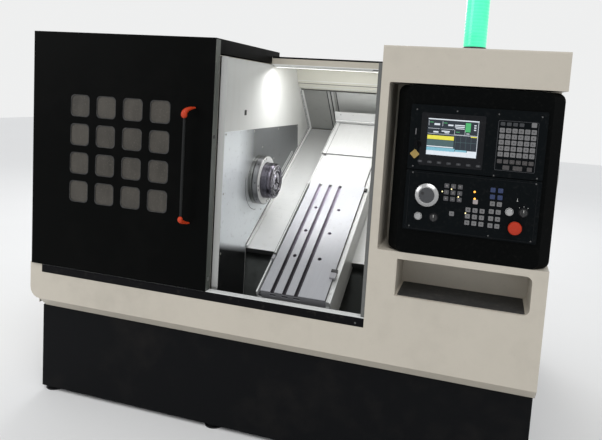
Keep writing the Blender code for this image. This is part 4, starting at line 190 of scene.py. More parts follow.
class Finish:
    """One Principled material built up from expressions."""

    def __init__(self, name, **constants):
        self.material = bpy.data.materials.new(name)
        self.material.use_nodes = True
        self.tree = self.material.node_tree
        self.shader = self.tree.nodes["Principled BSDF"]
        for socket, value in constants.items():
            self.shader.inputs[socket.replace("_", " ")].default_value = value
        self.spot = self.node("ShaderNodeTexCoord", output="Object")

    def node(self, kind, settings=None, values=None, output=0):
        made = self.tree.nodes.new(kind)
        for name, value in (settings or {}).items():
            if name == "stops":
                for index, (position, tone) in enumerate(value):
                    stop = made.color_ramp.elements[index] if index < 2 else made.color_ramp.elements.new(
                        position
                    )
                    stop.position = position
                    stop.color = (*tone, 1.0) if isinstance(tone, tuple) else (tone, tone, tone, 1.0)
            else:
                setattr(made, name, value)
        for name, value in (values or {}).items():
            if isinstance(value, Wire):
                self.tree.links.new(value.socket, made.inputs[name])
            elif isinstance(value, tuple) and len(value) == 3 and made.inputs[name].type == "RGBA":
                made.inputs[name].default_value = (*value, 1.0)
            else:
                made.inputs[name].default_value = value
        return Wire(self, made.outputs[output])

    def stretched(self, x, y, z):
        """The object's own coordinates, scaled each way."""
        return self.node("ShaderNodeVectorMath", {"operation": "MULTIPLY"}, {0: self.spot, 1: (x, y, z)})

    def tilted(self, x, y, z):
        """Coordinates along and across the slant, scaled each way."""
        turned = self.node(
            "ShaderNodeVectorRotate", {"rotation_type": "X_AXIS"}, {"Vector": self.spot, "Angle": -SLANT},
        )
        return self.node("ShaderNodeVectorMath", {"operation": "MULTIPLY"}, {0: turned, 1: (x, y, z)})

    def axis(self, index):
        return self.node("ShaderNodeSeparateXYZ", values={0: self.spot}, output=index)

    def noise(self, scale, detail=3.0, spot=None, rough=0.55):
        return self.node(
            "ShaderNodeTexNoise", values={
                "Vector": spot or self.spot, "Scale": scale, "Detail": detail, "Roughness": rough,
            },
        )

    def ramp(self, value, *stops):
        return self.node("ShaderNodeValToRGB", {"stops": stops}, {0: value})

    def blend(self, factor, first, second):
        """Colour mixed from first to second by factor."""
        return self.node("ShaderNodeMix", {"data_type": "RGBA"}, {0: factor, 6: first, 7: second}, 2)

    def feed(self, **wires):
        for socket, wire in wires.items():
            self.tree.links.new(wire.socket, self.shader.inputs[socket.replace("_", " ")])
        return self

    def bump(self, height, depth, strength=1.0):
        raised = self.node(
            "ShaderNodeBump", values={"Height": height, "Distance": depth, "Strength": strength},
        )
        return self.feed(Normal=raised)


OLD_COOLANT = (0.42, 0.39, 0.33)


def shade(tone, share):
    return tuple(min(part * share, 1.0) for part in tone)


def toward(tone, other, share):
    return tuple(a + (b - a) * share for a, b in zip(tone, other))


def enamel(name, tone, gloss, peel=0.00035, grime=(0.1, 0.09, 0.075), soil=0.25, **constants):
    """Sprayed enamel with orange peel, uneven gloss and a little grime."""
    finish = Finish(name, **constants)
    broad = finish.noise(2.6, 5.0)
    cloud = finish.noise(14.0, 4.0)
    fine = finish.noise(420.0, 2.0)
    specks = finish.ramp(finish.noise(160.0, 2.0), (0.66, 0.0), (0.74, 1.0))
    soiled = finish.ramp(broad * 0.6 + cloud * 0.4, (0.5, 0.0), (0.74, 1.0))
    clean = finish.blend(cloud, shade(tone, 0.94), shade(tone, 1.05))
    dirty = finish.blend(soiled * soil, clean, grime)
    finish.feed(
        Base_Color=finish.blend(specks * (soil * 0.6), dirty, grime),
        Roughness=(gloss + 0.16 * (cloud - 0.5) + 0.1 * soiled).held(),
    )
    return finish.bump(fine * 0.6 + cloud * 0.4, peel, 0.35).material


def brushed(name, tone, rough, along=(900.0, 12.0, 900.0), slant=False, stain=0.3, metal=1.0, painted_light_fades=()):
    """Bare metal with fine lines one way, cloudy stains, dry coolant marks, and painted light and shade as
    straight blends of tone.
    """
    finish = Finish(name, Metallic=metal)
    spot = finish.tilted(*along) if slant else finish.stretched(*along)
    lines = finish.noise(1.0, 4.0, spot, 0.7)
    cloud = finish.noise(9.0, 5.0)
    drops = finish.ramp(finish.noise(38.0, 4.0, rough=0.7), (0.58, 0.0), (0.7, 1.0))
    base = finish.blend(lines, shade(tone, 0.82), shade(tone, 1.12))
    # painted light and shade: each blend runs along one axis or a slanted line towards a brighter or darker
    # copy of the tone
    for way, start, end, share in painted_light_fades:
        place = finish.axis(way) if isinstance(
            way, int,
        ) else way[0] * finish.axis(1) + way[1] * finish.axis(2)
        base = finish.blend(((place - start) / (end - start)).held(), base, shade(tone, share))
    stained = finish.blend(drops * (cloud * stain), base, shade(toward(tone, (0.45, 0.4, 0.33), 0.5), 0.62))
    finish.feed(
        Base_Color=stained,
        Roughness=(rough + 0.16 * (lines - 0.5) + 0.22 * drops * cloud + 0.1 * (cloud - 0.5)).held(),
    )
    return finish.bump(lines, 0.00006, 0.5).material


def turned_metal(name, tone, rough, rings=1500.0):
    """Turned metal whose fine rings run round the spindle's axis."""
    finish = Finish(name, Metallic=1.0)
    rings_noise = finish.noise(1.0, 2.0, finish.stretched(rings, 6.0, 6.0))
    cloud = finish.noise(30.0, 4.0)
    film = finish.ramp(finish.noise(70.0, 3.0), (0.52, 0.0), (0.7, 1.0))
    finish.feed(
        Base_Color=finish.blend(film * 0.12, finish.blend(rings_noise, shade(tone, 0.8), shade(tone, 1.12)),
                                shade(toward(tone, (0.3, 0.24, 0.16), 0.5), 0.6)),
        Roughness=(rough + 0.14 * (rings_noise - 0.5) + 0.2 * film * cloud).held(),
    )
    return finish.bump(rings_noise, 0.00004, 0.5).material


def casting(name, tone, rough=0.62, metal=0.25):
    """Cast surface with sand grain and oily patches."""
    finish = Finish(name, Metallic=metal)
    grain = finish.noise(260.0, 5.0, rough=0.7)
    cloud = finish.noise(8.0, 4.0)
    oil = finish.ramp(cloud, (0.52, 0.0), (0.66, 1.0))
    finish.feed(
        Base_Color=finish.blend(
            oil * 0.6, finish.blend(grain, shade(tone, 0.75), shade(tone, 1.25)), shade(tone, 0.55),
        ),
        Roughness=(rough + 0.2 * (grain - 0.5) - 0.3 * oil).held(),
    )
    return finish.bump(grain, 0.0006, 0.6).material


def plastic(name, tone, rough, grain=700.0, depth=0.00008, wear=0.12, **constants):
    """Moulded plastic with a fine grain and dull, dusty patches."""
    finish = Finish(name, **constants)
    fine = finish.noise(grain, 2.0)
    cloud = finish.noise(24.0, 4.0)
    dust = finish.ramp(finish.noise(90.0, 4.0), (0.55, 0.0), (0.8, 1.0))
    finish.feed(
        Base_Color=finish.blend(dust * wear, finish.blend(cloud, shade(tone, 0.88), shade(tone, 1.1)),
                                toward(tone, (0.5, 0.48, 0.44), 0.45)),
        Roughness=(rough + 0.14 * (cloud - 0.5) + 0.12 * dust).held(),
    )
    return finish.bump(fine, depth, 0.5).material


def rubber(name, tone=(0.018, 0.018, 0.018)):
    finish = Finish(name)
    fine = finish.noise(500.0, 3.0)
    dust = finish.ramp(finish.noise(60.0, 4.0), (0.48, 0.0), (0.76, 1.0))
    finish.feed(
        Base_Color=finish.blend(dust * 0.35, tone, toward(tone, (0.35, 0.33, 0.3), 0.35)),
        Roughness=(0.68 + 0.2 * (fine - 0.5) + 0.1 * dust).held(),
    )
    return finish.bump(fine, 0.0001, 0.5).material


def glowing(name, tone, strength, base=(0.02, 0.02, 0.02), ripple=0.25, scale=120.0, rough=0.25):
    """A lit lens or picture element, a little uneven in brightness."""
    finish = Finish(name, Emission_Strength=strength)
    cloud = finish.noise(scale, 3.0)
    finish.feed(
        Base_Color=finish.blend(cloud, shade(base, 0.85), shade(base, 1.15)),
        Emission_Color=finish.blend(cloud, shade(tone, 1.0 - ripple), tone),
        Roughness=(rough + 0.1 * (cloud - 0.5)).held(),
    )
    return finish.material


def painted_light_wall(name, tone, spot, reach):
    """White enamel with a painted pool of lamp light: palest round one spot, and greyer towards its edges as
    painted shade.
    """
    finish = Finish(name, Coat_Weight=0.1, Coat_Roughness=0.3)
    far = finish.node("ShaderNodeVectorMath", {"operation": "DISTANCE"}, {0: finish.spot, 1: spot}, 1)
    cloud = finish.noise(3.0, 4.0)
    fine = finish.noise(380.0, 2.0)
    runs = finish.ramp(finish.noise(1.0, 4.0, finish.stretched(20.0, 24.0, 2.5)), (0.55, 0.0), (0.8, 1.0))
    # painted light: brightness drops with distance from the spot, from painted highlight to painted shade
    glow = (1.0 - far / reach + 0.14 * (cloud - 0.5)).held()
    clean = finish.blend(glow, shade(tone, 0.68), shade(tone, 1.06))
    finish.feed(
        Base_Color=finish.blend(runs * 0.1, clean, OLD_COOLANT),
        Roughness=(0.38 + 0.12 * (cloud - 0.5) + 0.08 * runs).held(),
    )
    return finish.bump(fine, 0.0003, 0.3).material


def window_pane(name):
    """Laminated pane, hazy with dried coolant and faint vertical runs."""
    finish = Finish(name, Coat_Weight=0.15, Coat_Roughness=0.12, Specular_IOR_Level=0.25)
    runs = finish.noise(1.0, 3.0, finish.stretched(26.0, 26.0, 4.0))
    haze = finish.noise(6.0, 4.0)
    drops = finish.ramp(finish.noise(140.0, 3.0), (0.58, 0.0), (0.66, 1.0))
    veil = finish.ramp(runs * 0.4 + haze * 0.6, (0.32, (0.03, 0.027, 0.022)), (0.68, (0.066, 0.059, 0.049)))
    finish.feed(
        Base_Color=finish.blend(drops * 0.2, veil, (0.17, 0.155, 0.13)),
        Roughness=(0.26 + 0.1 * runs + 0.15 * drops).held(),
    )
    return finish.bump(drops, 0.0001, 0.2).material


def screen_film(name):
    """Unlit part of the display, a dark blue with a faint grid of rows."""
    finish = Finish(name, Emission_Strength=0.55, Roughness=0.12)
    rows = finish.axis(2) % 0.0032 > 0.0022
    columns = finish.axis(0) % 0.029 > 0.028
    cloud = finish.noise(20.0, 2.0)
    tone = finish.blend((rows + columns).held() * 0.5, (0.004, 0.01, 0.022), (0.018, 0.05, 0.075))
    finish.feed(
        Base_Color=finish.blend(cloud, (0.004, 0.007, 0.01), (0.007, 0.01, 0.014)),
        Emission_Color=tone,
    )
    return finish.material


def tower_lens(name, tone):
    """Lit lens, brightest along its middle rings."""
    finish = Finish(name, Emission_Strength=0.95, Roughness=0.22, Coat_Weight=0.5)
    bands = (finish.axis(2) % 0.012) / 0.012
    cloud = finish.noise(16.0, 2.0)
    glow = (bands * 0.25 + cloud * 0.75).held()
    finish.feed(
        Base_Color=finish.blend(glow, shade(tone, 0.35), shade(tone, 0.6)),
        Emission_Color=finish.blend(glow, shade(tone, 0.72), toward(tone, (0.55, 1.0, 0.9), 0.3)),
    )
    return finish.bump(bands, 0.0005, 0.4).material


def floor_finish(name, tone):
    finish = Finish(name, Roughness=0.75)
    cloud = finish.noise(1.2, 4.0)
    finish.feed(Base_Color=finish.blend(cloud, shade(tone, 0.985), shade(tone, 1.015)))
    return finish.material


FINISHES = {}
EVEN_GRAIN = (300.0, 300.0, 300.0)
KEY_PLASTICS = (
    ("key_light", (0.34, 0.3, 0.295), 0.48, 0.18), ("key_grey", (0.15, 0.148, 0.15), 0.48, 0.18),
    ("key_dark", (0.045, 0.04, 0.04), 0.5, 0.18), ("key_blue", (0.012, 0.026, 0.09), 0.45, 0.12),
    ("key_low", (0.06, 0.06, 0.064), 0.5, 0.12), ("key_dim", (0.026, 0.028, 0.032), 0.5, 0.1),
)
SCREEN_TONES = (
    ("screen_white", (0.86, 0.93, 1.0)), ("screen_sky", (0.22, 0.56, 0.7)),
    ("screen_yellow", (0.95, 0.88, 0.06)), ("screen_green", (0.06, 0.52, 0.16)),
    ("screen_teal", (0.055, 0.12, 0.13)),
)


def build_finishes(tones):
    """Makes every material once."""
    cream, black, white = tuple(tones.cream), tuple(tones.black), tuple(tones.white)
    stainless, ground = tuple(tones.stainless), tuple(tones.ground)
    FINISHES.update({
        "cream": enamel("cream_enamel", cream, 0.46, soil=0.22),
        "door_black": enamel(
            "door_enamel", black, 0.4, grime=(0.008, 0.0075, 0.007), soil=0.25, Specular_IOR_Level=0.03,
        ),
        "base_black": enamel(
            "base_enamel", tuple(tones.base), 0.52, grime=(0.02, 0.018, 0.016), soil=0.4,
            Specular_IOR_Level=0.06,
        ),
        "pan_black": enamel(
            "trough_enamel", (0.02, 0.02, 0.021), 0.38, grime=(0.16, 0.15, 0.13), soil=0.55,
        ),
        "white": enamel("chamber_enamel", white, 0.36, grime=OLD_COOLANT, soil=0.2, Coat_Weight=0.1),
        # painted light: the bulkhead's pool of lamp light, centred near its top
        "wall": painted_light_wall("bulkhead_painted_light_pool", white, tuple(at(0.851, 0.74, 1.4)), 0.95),
        "ceiling": enamel("ceiling_enamel", (0.7, 0.69, 0.61), 0.4, grime=OLD_COOLANT, soil=0.2),
        # painted light: the door's black edge enamel lightened to grey-green, as lit by the chamber lamp
        "return": enamel(
            "door_edge_painted_light", (0.07, 0.078, 0.068), 0.38, grime=(0.18, 0.18, 0.15), soil=0.5,
        ),
        # painted light: the sheet is brightened towards the front and below 0.84 m; painted shade darkens it
        # almost to black below a slanted line across its lower part
        "stainless": brushed(
            "chamber_stainless", stainless, 0.36, (12.0, 900.0, 12.0), False, 0.45, 0.35,
            ((1, -0.3, -0.47, 5.0), (2, 0.97, 0.84, 5.2), ((0.295, 1.0), 0.594, 0.56, 0.08)),
        ),
        # painted light and shade: darker towards the back and a little towards the front, and nearly black
        # below 0.684 m as painted shadow
        "cover": brushed(
            "cover_stainless", (0.86, 0.87, 0.86), 0.36, (10.0, 700.0, 700.0), True, 0.3, 0.15,
            ((1, 0.02, 0.5, 0.5), (1, -0.1, -0.3, 0.84), (2, 0.6842, 0.6834, 0.06)),
        ),
        # painted shadow: nearly black below 0.684 m
        "cover_right": brushed(
            "right_cover_stainless", (0.82, 0.825, 0.815), 0.38, (10.0, 700.0, 700.0), True, 0.2, 0.05,
            ((2, 0.6842, 0.6834, 0.06),),
        ),
        "hood": brushed(
            "hood_stainless", (0.8, 0.805, 0.8), 0.36, (700.0, 10.0, 700.0), True, 0.12, 0.05,
        ),
        # painted light: the rear panel is brighter towards its foot
        "rear_sheet": brushed(
            "rear_panel_stainless", (0.34, 0.345, 0.33), 0.42, (8.0, 600.0, 600.0), False, 0.4, 0.4,
            ((2, 1.42, 1.2, 1.25),),
        ),
        "rear_light": brushed(
            "rear_right_stainless", (0.52, 0.53, 0.515), 0.4, (8.0, 600.0, 600.0), False, 0.3, 0.3,
        ),
        # painted shade: near-black strips laid in folds, gaps and recesses where shade falls
        "painted_shade_line": plastic("fold_shadow", (0.03, 0.031, 0.034), 0.55, wear=0.08),
        # painted highlight: pale strips on the wiper trim's lit edges and round the bulkhead slot
        "painted_edge_highlight": enamel("trim_edge_painted_highlight", (0.9, 0.905, 0.9), 0.3, soil=0.1),
        # painted shade: dark linings in the T-slots and bolt holes, with painted light brightening them
        # towards the back of the slope
        "shaded_slot": brushed(
            "slot_shadow", (0.04, 0.036, 0.044), 0.45, (700.0, 9.0, 700.0), True, 0.2, 0.0,
            ((1, -0.5, -0.06, 15.0),),
        ),
        # painted light: the tool plate is brighter towards the back of the slope
        "ground": brushed(
            "tool_plate_steel", ground, 0.34, (700.0, 9.0, 700.0), True, 0.35, 0.15,
            ((1, -0.52, -0.06, 2.3),),
        ),
        "plate_front": brushed(
            "plate_front_steel", (0.27, 0.27, 0.285), 0.38, (12.0, 500.0, 500.0), False, 0.35, 0.1,
        ),
        "ring_face": brushed(
            "ring_face_steel", (0.82, 0.825, 0.815), 0.34, (12.0, 300.0, 300.0), False, 0.15, 0.1,
        ),
        "slide": brushed("slide_sheet", (0.62, 0.63, 0.62), 0.4, (700.0, 12.0, 700.0), True, 0.35, 0.3),
        "iron": casting("bed_iron", (0.12, 0.13, 0.125)),
        "sill": enamel("sill_enamel", (0.66, 0.67, 0.66), 0.34, soil=0.3),
        "dark_steel": brushed("rail_steel", (0.01, 0.01, 0.011), 0.46, (8.0, 500.0, 500.0), False, 0.3),
        "seal": rubber("column_seal_rubber", (0.11, 0.112, 0.108)),
        "turned": turned_metal("spindle_steel", (0.27, 0.27, 0.275), 0.3),
        "nose": turned_metal("nose_steel", (0.135, 0.128, 0.152), 0.27),
        "nose_rim": turned_metal("nose_rim_steel", (0.68, 0.665, 0.73), 0.26),
        "collet": turned_metal("collet_steel", (0.5, 0.49, 0.47), 0.2, 900.0),
        "bearing": turned_metal("bearing_cover_steel", (0.29, 0.295, 0.285), 0.3),
        "motor": enamel("motor_enamel", (0.02, 0.021, 0.022), 0.45, soil=0.3),
        "rubber": rubber("seal_rubber"),
        "belt": rubber("belt_rubber", (0.03, 0.03, 0.031)),
        "pane": window_pane("door_pane"),
        "orange": plastic(
            "handle_cap_orange", tuple(tones.orange), 0.38, 620.0, wear=0.08, Specular_IOR_Level=0.22,
        ),
        "grip": plastic(
            "handle_grip_grey", (0.0075, 0.0085, 0.0085), 0.45, wear=0.03, Specular_IOR_Level=0.2,
        ),
        "box": plastic(
            "housing_black", (0.001, 0.0013, 0.0013), 0.5, 520.0, 0.00022, 0.02, Specular_IOR_Level=0.04,
        ),
        "film": plastic(
            "panel_film", (0.0022, 0.0034, 0.0042), 0.42, 900.0, 0.00004, 0.03, Specular_IOR_Level=0.05,
        ),
        "bezel": plastic(
            "bezel_black", (0.005, 0.0055, 0.007), 0.32, 900.0, 0.00003, 0.04, Specular_IOR_Level=0.15,
        ),
        "legend": plastic("legend_ink", (0.02, 0.02, 0.022), 0.55, wear=0.02),
        "legend_light": plastic("legend_pale_ink", (0.55, 0.55, 0.53), 0.55, wear=0.02),
        "red": plastic("stop_red", tuple(tones.red), 0.36, wear=0.06, Specular_IOR_Level=0.25),
        "silver": turned_metal("knob_silver", (0.44, 0.44, 0.44), 0.24, 400.0),
        "knob": plastic("knob_black", (0.016, 0.016, 0.017), 0.34, wear=0.1),
        "lens": tower_lens("tower_green", tuple(tones.green)),
        "amber": glowing("indicator_amber", (1.0, 0.42, 0.05), 2.2, (0.3, 0.12, 0.02)),
        "warm": glowing("indicator_warm", (1.0, 0.86, 0.45), 2.0, (0.3, 0.25, 0.1)),
        "screen": screen_film("screen_dark"),
        "tube": glowing("lamp_tube", (1.0, 0.99, 0.95), 4.0, (0.8, 0.8, 0.8), 0.1, 30.0),
        "tank": enamel("tank_enamel", (0.2, 0.205, 0.205), 0.45, soil=0.35),
        "zinc": brushed("screw_zinc", (0.55, 0.55, 0.53), 0.3, EVEN_GRAIN, False, 0.3),
        "dull_screw": brushed("screw_dull", (0.12, 0.12, 0.12), 0.4, EVEN_GRAIN, False, 0.3),
        "fob": turned_metal("fob_brass", (0.42, 0.3, 0.11), 0.34, 300.0),
        "dial": plastic("dial_face", (0.04, 0.042, 0.046), 0.42, wear=0.12),
        "black_screw": brushed("screw_black_oxide", (0.045, 0.045, 0.047), 0.36, EVEN_GRAIN, False, 0.2),
        "dust": rubber("filter_foam", (0.03, 0.03, 0.032)),
    })
    for name, tone, rough, wear in KEY_PLASTICS:
        FINISHES[name] = plastic(name, tone, rough, wear=wear)
    for name, tone in SCREEN_TONES:
        FINISHES[name] = glowing(name, tone, 0.95)


# Mesh work

def arc(centre, radius, start, end, steps=6):
    turns = [start + (end - start) * step / steps for step in range(steps + 1)]
    return [(centre[0] + radius * cos(turn), centre[1] + radius * sin(turn)) for turn in turns]


def rect(left, right, bottom, top):
    return [(left, bottom), (right, bottom), (right, top), (left, top)]


def soft_rect(left, right, bottom, top, radius, steps=6):
    corners = (
        (right - radius, bottom + radius, -pi / 2), (right - radius, top - radius, 0),
        (left + radius, top - radius, pi / 2), (left + radius, bottom + radius, pi),
    )
    points = []
    for across, up, start in corners:
        points += arc((across, up), radius, start, start + pi / 2, steps)
    return points


def soft_pad(across, up, wide, tall, radius, steps=6):
    """A soft rectangle about its middle; wide and tall are its halves."""
    return soft_rect(across - wide, across + wide, up - tall, up + tall, radius, steps)


def field(left, top, columns, rows, pitch):
    """Every place of a field, column by column, as its column, row, across and up."""
    for column in range(columns):
        for row in range(rows):
            yield column, row, left + column * pitch[0], top - row * pitch[1]


def band(path, thick):
    """Outline of a folded sheet: a path and the same path set off to its left."""
    points = [Vector(point) for point in path]
    runs = [(after - before).normalized() for before, after in zip(points, points[1:])]
    sides = [Vector((-run.y, run.x)) for run in runs]
    far = []
    for index, point in enumerate(points):
        before, after = sides[max(index - 1, 0)], sides[min(index, len(sides) - 1)]
        middle = (before + after).normalized()
        far.append(point + middle * thick / middle.dot(after))
    return [tuple(point) for point in points + far[::-1]]


SHARP = radians(35)
AXES = {
    "X": lambda a, b, run: (run, a, b),
    "Y": lambda a, b, run: (a, run, b),
    "Z": lambda a, b, run: (a, b, run),
}


class Form:
    """Collects the faces of one piece, in machine or slanted lengths."""

    def __init__(self, place=MACHINE):
        self.mesh = bmesh.new()
        self.place = place

    def walls(self, rings, tips=False):
        """Joins each ring to the next; a ring may be one point, and tips closes both ends."""
        for first, second in zip(rings, rings[1:]):
            for index in range(max(len(first), len(second))):
                before = index - 1
                corners = (
                    first[before % len(first)], first[index % len(first)],
                    second[index % len(second)], second[before % len(second)],
                )
                if len(set(corners)) > 2:
                    self.mesh.faces.new(tuple(dict.fromkeys(corners)))
        if tips:
            self.mesh.faces.new(rings[0])
            self.mesh.faces.new(rings[-1])
        return self

    def prism(self, outline, axis, start, end):
        ring = [self.mesh.verts.new(AXES[axis](a, b, start)) for a, b in outline]
        top = [self.mesh.verts.new(AXES[axis](a, b, end)) for a, b in outline]
        self.mesh.faces.new(ring)
        self.mesh.faces.new(top)
        return self.walls((ring, top))

    def plate(self, outline, holes, axis, start, end):
        """A prism with holes through it."""
        caps = []
        for run in (start, end):
            loops, edges = [], []
            for loop in (outline, *holes):
                ring = [self.mesh.verts.new(AXES[axis](a, b, run)) for a, b in loop]
                edges += [self.mesh.edges.new((ring[index - 1], ring[index])) for index in range(len(ring))]
                loops.append(ring)
            bmesh.ops.triangle_fill(self.mesh, use_beauty=True, edges=edges)
            caps.append(loops)
        for pair in zip(*caps):
            self.walls(pair)
        return self

    def frame_prism(self, outer, inner, axis, start, end):
        """A ring between two outlines of the same number of points."""
        loops = []
        for outline, run in ((outer, start), (outer, end), (inner, end), (inner, start)):
            loops.append([self.mesh.verts.new(AXES[axis](a, b, run)) for a, b in outline])
        return self.walls(loops + loops[:1])

    def turn(self, profile, centre, axis="X", facets=48, closed=True):
        """Revolves a profile of (along the axis, radius); radius 0 closes it at the axis."""
        rings = []
        for run, radius in profile:
            if radius <= 0:
                rings.append([self.mesh.verts.new(Vector(centre) + Vector(AXES[axis](0, 0, run)))])
                continue
            ring = []
            for step in range(facets):
                angle = 2 * pi * step / facets
                spot = Vector(AXES[axis](radius * cos(angle), radius * sin(angle), run))
                ring.append(self.mesh.verts.new(Vector(centre) + spot))
            rings.append(ring)
        if closed and len(rings[0]) > 1:
            rings.append(rings[0])
        return self.walls(rings)

    def sweep(self, route, radii, facets=32):
        """A round bar along a route, with a radius at each point."""
        rings = []
        for index, point in enumerate(route):
            before, after = Vector(route[max(index - 1, 0)]), Vector(route[min(index + 1, len(route) - 1)])
            run = (after - before).normalized()
            side = run.cross(Vector((1, 0, 0)))
            side = (side if side.length > 0.1 else run.cross(Vector((0, 1, 0)))).normalized()
            rise = run.cross(side)
            ring = []
            for step in range(facets):
                angle = 2 * pi * step / facets
                spot = Vector(point) + radii[index] * (cos(angle) * side + sin(angle) * rise)
                ring.append(self.mesh.verts.new(spot))
            rings.append(ring)
        return self.walls(rings, True)

    def screw(self, spot, normal, radius, tall=0.5, sides=18):
        """A low round head with a six-sided socket."""
        tip = Vector(normal).normalized()
        side = tip.orthogonal().normalized()
        rise = tip.cross(side)
        rings = []
        for run, share, socket in (
            (0, 1, False), (tall * 0.7, 1, False), (tall, 0.84, False), (tall, 0.52, True),
            (tall * 0.35, 0.48, True),
        ):
            ring = []
            for step in range(sides):
                angle = 2 * pi * step / sides
                reach = radius * share
                if socket:
                    reach *= cos(pi / 6) / cos(angle % (pi / 3) - pi / 6)
                way = cos(angle) * side + sin(angle) * rise
                ring.append(self.mesh.verts.new(Vector(spot) + tip * radius * run + reach * way))
            rings.append(ring)
        return self.walls(rings, True)

    def piece(self, name, body, slot, finish, edge=0.0, replaces=()):
        """Turns the collected faces into a piece that rides on a body."""
        bmesh.ops.recalc_face_normals(self.mesh, faces=self.mesh.faces)
        bmesh.ops.transform(self.mesh, matrix=self.place, verts=self.mesh.verts)
        data = bpy.data.meshes.new(name)
        self.mesh.to_mesh(data)
        self.mesh.free()
        made = bpy.data.objects.new(name, data)
        bpy.context.scene.collection.objects.link(made)
        data.materials.append(FINISHES[finish])
        data.shade_smooth()
        data.set_sharp_from_angle(angle=SHARP)
        if edge:
            rounding = made.modifiers.new("broken_edge", "BEVEL")
            rounding.width = edge
            rounding.segments = 2
            rounding.limit_method = "ANGLE"
            rounding.angle_limit = SHARP
            rounding.harden_normals = True
        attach(made, body)
        if replaces:
            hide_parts(*replaces)
        return made


def screw_row(name, slot, finish, spots, normal, radius, tall=0.35, body="frame", place=MACHINE):
    """One piece of equal screws that all face one way."""
    form = Form(place)
    for spot in spots:
        form.screw(spot, normal, radius, tall)
    form.piece(name, body, slot, finish)


def dress(node, finish):
    """Gives a carried-over node its detailed finish."""
    shown = NODES[node]
    shown.data.materials.clear()
    shown.data.materials.append(FINISHES[finish])
    shown.data.shade_smooth()
    shown.data.set_sharp_from_angle(angle=radians(28))


class DressingOperator:
    """Shared by the operators: runs make with the scene's settings."""
    bl_options = {"REGISTER", "UNDO"}

    def execute(self, context):
        self.make(context.scene.lathe_sizes)
        return {"FINISHED"}


# Carried-over nodes

FINISHED_NODES = {
    "base_black": ("base_frame",),
    "iron": ("bed_casting", "headstock", "spindle_pulley", "motor_pulley"),
    "pan_black": ("chip_pan",),
    "cream": ("front_frame", "left_cover", "rear_cover", "right_cover", "electrical_tub", "back_door"),
    "ceiling": ("lintel",),
    "wall": ("bulkhead",),
    "stainless": ("spindle_plate", "bulkhead_trim"),
    "rear_sheet": ("inner_rear_panel",),
    "white": ("inner_right_wall", "work_lamp"),
    "seal": ("column_seal",),
    "sill": ("sill_strip",),
    "dark_steel": ("door_rail", "top_rail", "key_switch"),
    "door_black": ("door_panel",),
    "pane": ("door_glass",),
    "grip": ("handle_bar",),
    "orange": ("handle_cap_top", "handle_cap_bottom"),
    "bearing": ("bearing_cover",),
    "turned": ("spindle_shaft", "x_screw", "z_screw"),
    "nose": ("nose_cap",),
    "collet": ("collet",),
    "motor": ("spindle_motor", "x_motor", "z_motor"),
    "belt": ("drive_belt",),
    "slide": ("saddle", "cross_slide"),
    "ground": ("tool_plate",),
    "hood": ("slide_cover", "rear_shield"),
    "cover": ("way_cover_left", "way_cover_left_mid"),
    "cover_right": ("way_cover_right", "way_cover_right_mid"),
    "box": ("control_box",),
    "film": ("upper_unit", "lower_unit"),
    "screen": ("screen",),
    "silver": ("handwheel", "button_left", "button_right"),
    "knob": ("selector_left", "selector_right"),
    "red": ("emergency_stop",),
    "lens": ("tower_light",),
    "tank": ("coolant_tank",),
}


class LATHE_OT_finishes(DressingOperator, bpy.types.Operator):
    """Builds the materials and finishes every carried-over node"""
    bl_idname = "lathe.finishes"
    bl_label = "Finish the nodes"

    def make(self, sizes):
        build_finishes(bpy.context.scene.lathe_colours)
        missing = set(NODES).difference(*FINISHED_NODES.values())
        if missing:
            raise RuntimeError(f"no finish is named for {sorted(missing)}")
        for finish, nodes in FINISHED_NODES.items():
            for node in nodes:
                dress(node, finish)


# Door

WINDOW_LEFT = 0.246
WINDOW_TOP = 1.302
WINDOW_PITCH = (0.1253, 0.1205)
WINDOW_SIZE = 0.092
WINDOW_ROUND = 0.018
DOOR_FACE = -0.008
DOOR_RIGHT = 0.854
DOOR_EDGE = (
    # painted light: the edge strip is the door's black edge shown lit by the chamber lamp
    ("door_edge_strip", "black_paint", "return",
     soft_rect(DOOR_FACE + 0.0015, 0.0325, 0.604, 1.598, 0.002, 2), 0, 0.0006, 0.0),
    (
        "door_edge_catch", "rubber", "rubber", soft_rect(0.002, 0.015, 1.213, 1.227, 0.003, 3), 0.0006,
        0.0016, 0.0,
    ),
    (
        "door_edge_plug", "stainless", "zinc", soft_rect(0.005, 0.02, 0.637, 0.656, 0.007, 5), 0.0006,
        0.0018, 0.0004,
    ),
)
HANDLE_X = 0.777
HANDLE_ENDS = (
    ("top", 1.3285, -1, 0.0122, 0.0385, 0.0, 0.0), ("bottom", 0.869, 1, 0.0098, 0.0325, 0.45, -0.007),
)
HANDLE_OUT = -0.0595
GRIP_OUT = -0.055
HANDLE_LEAN = 0.019


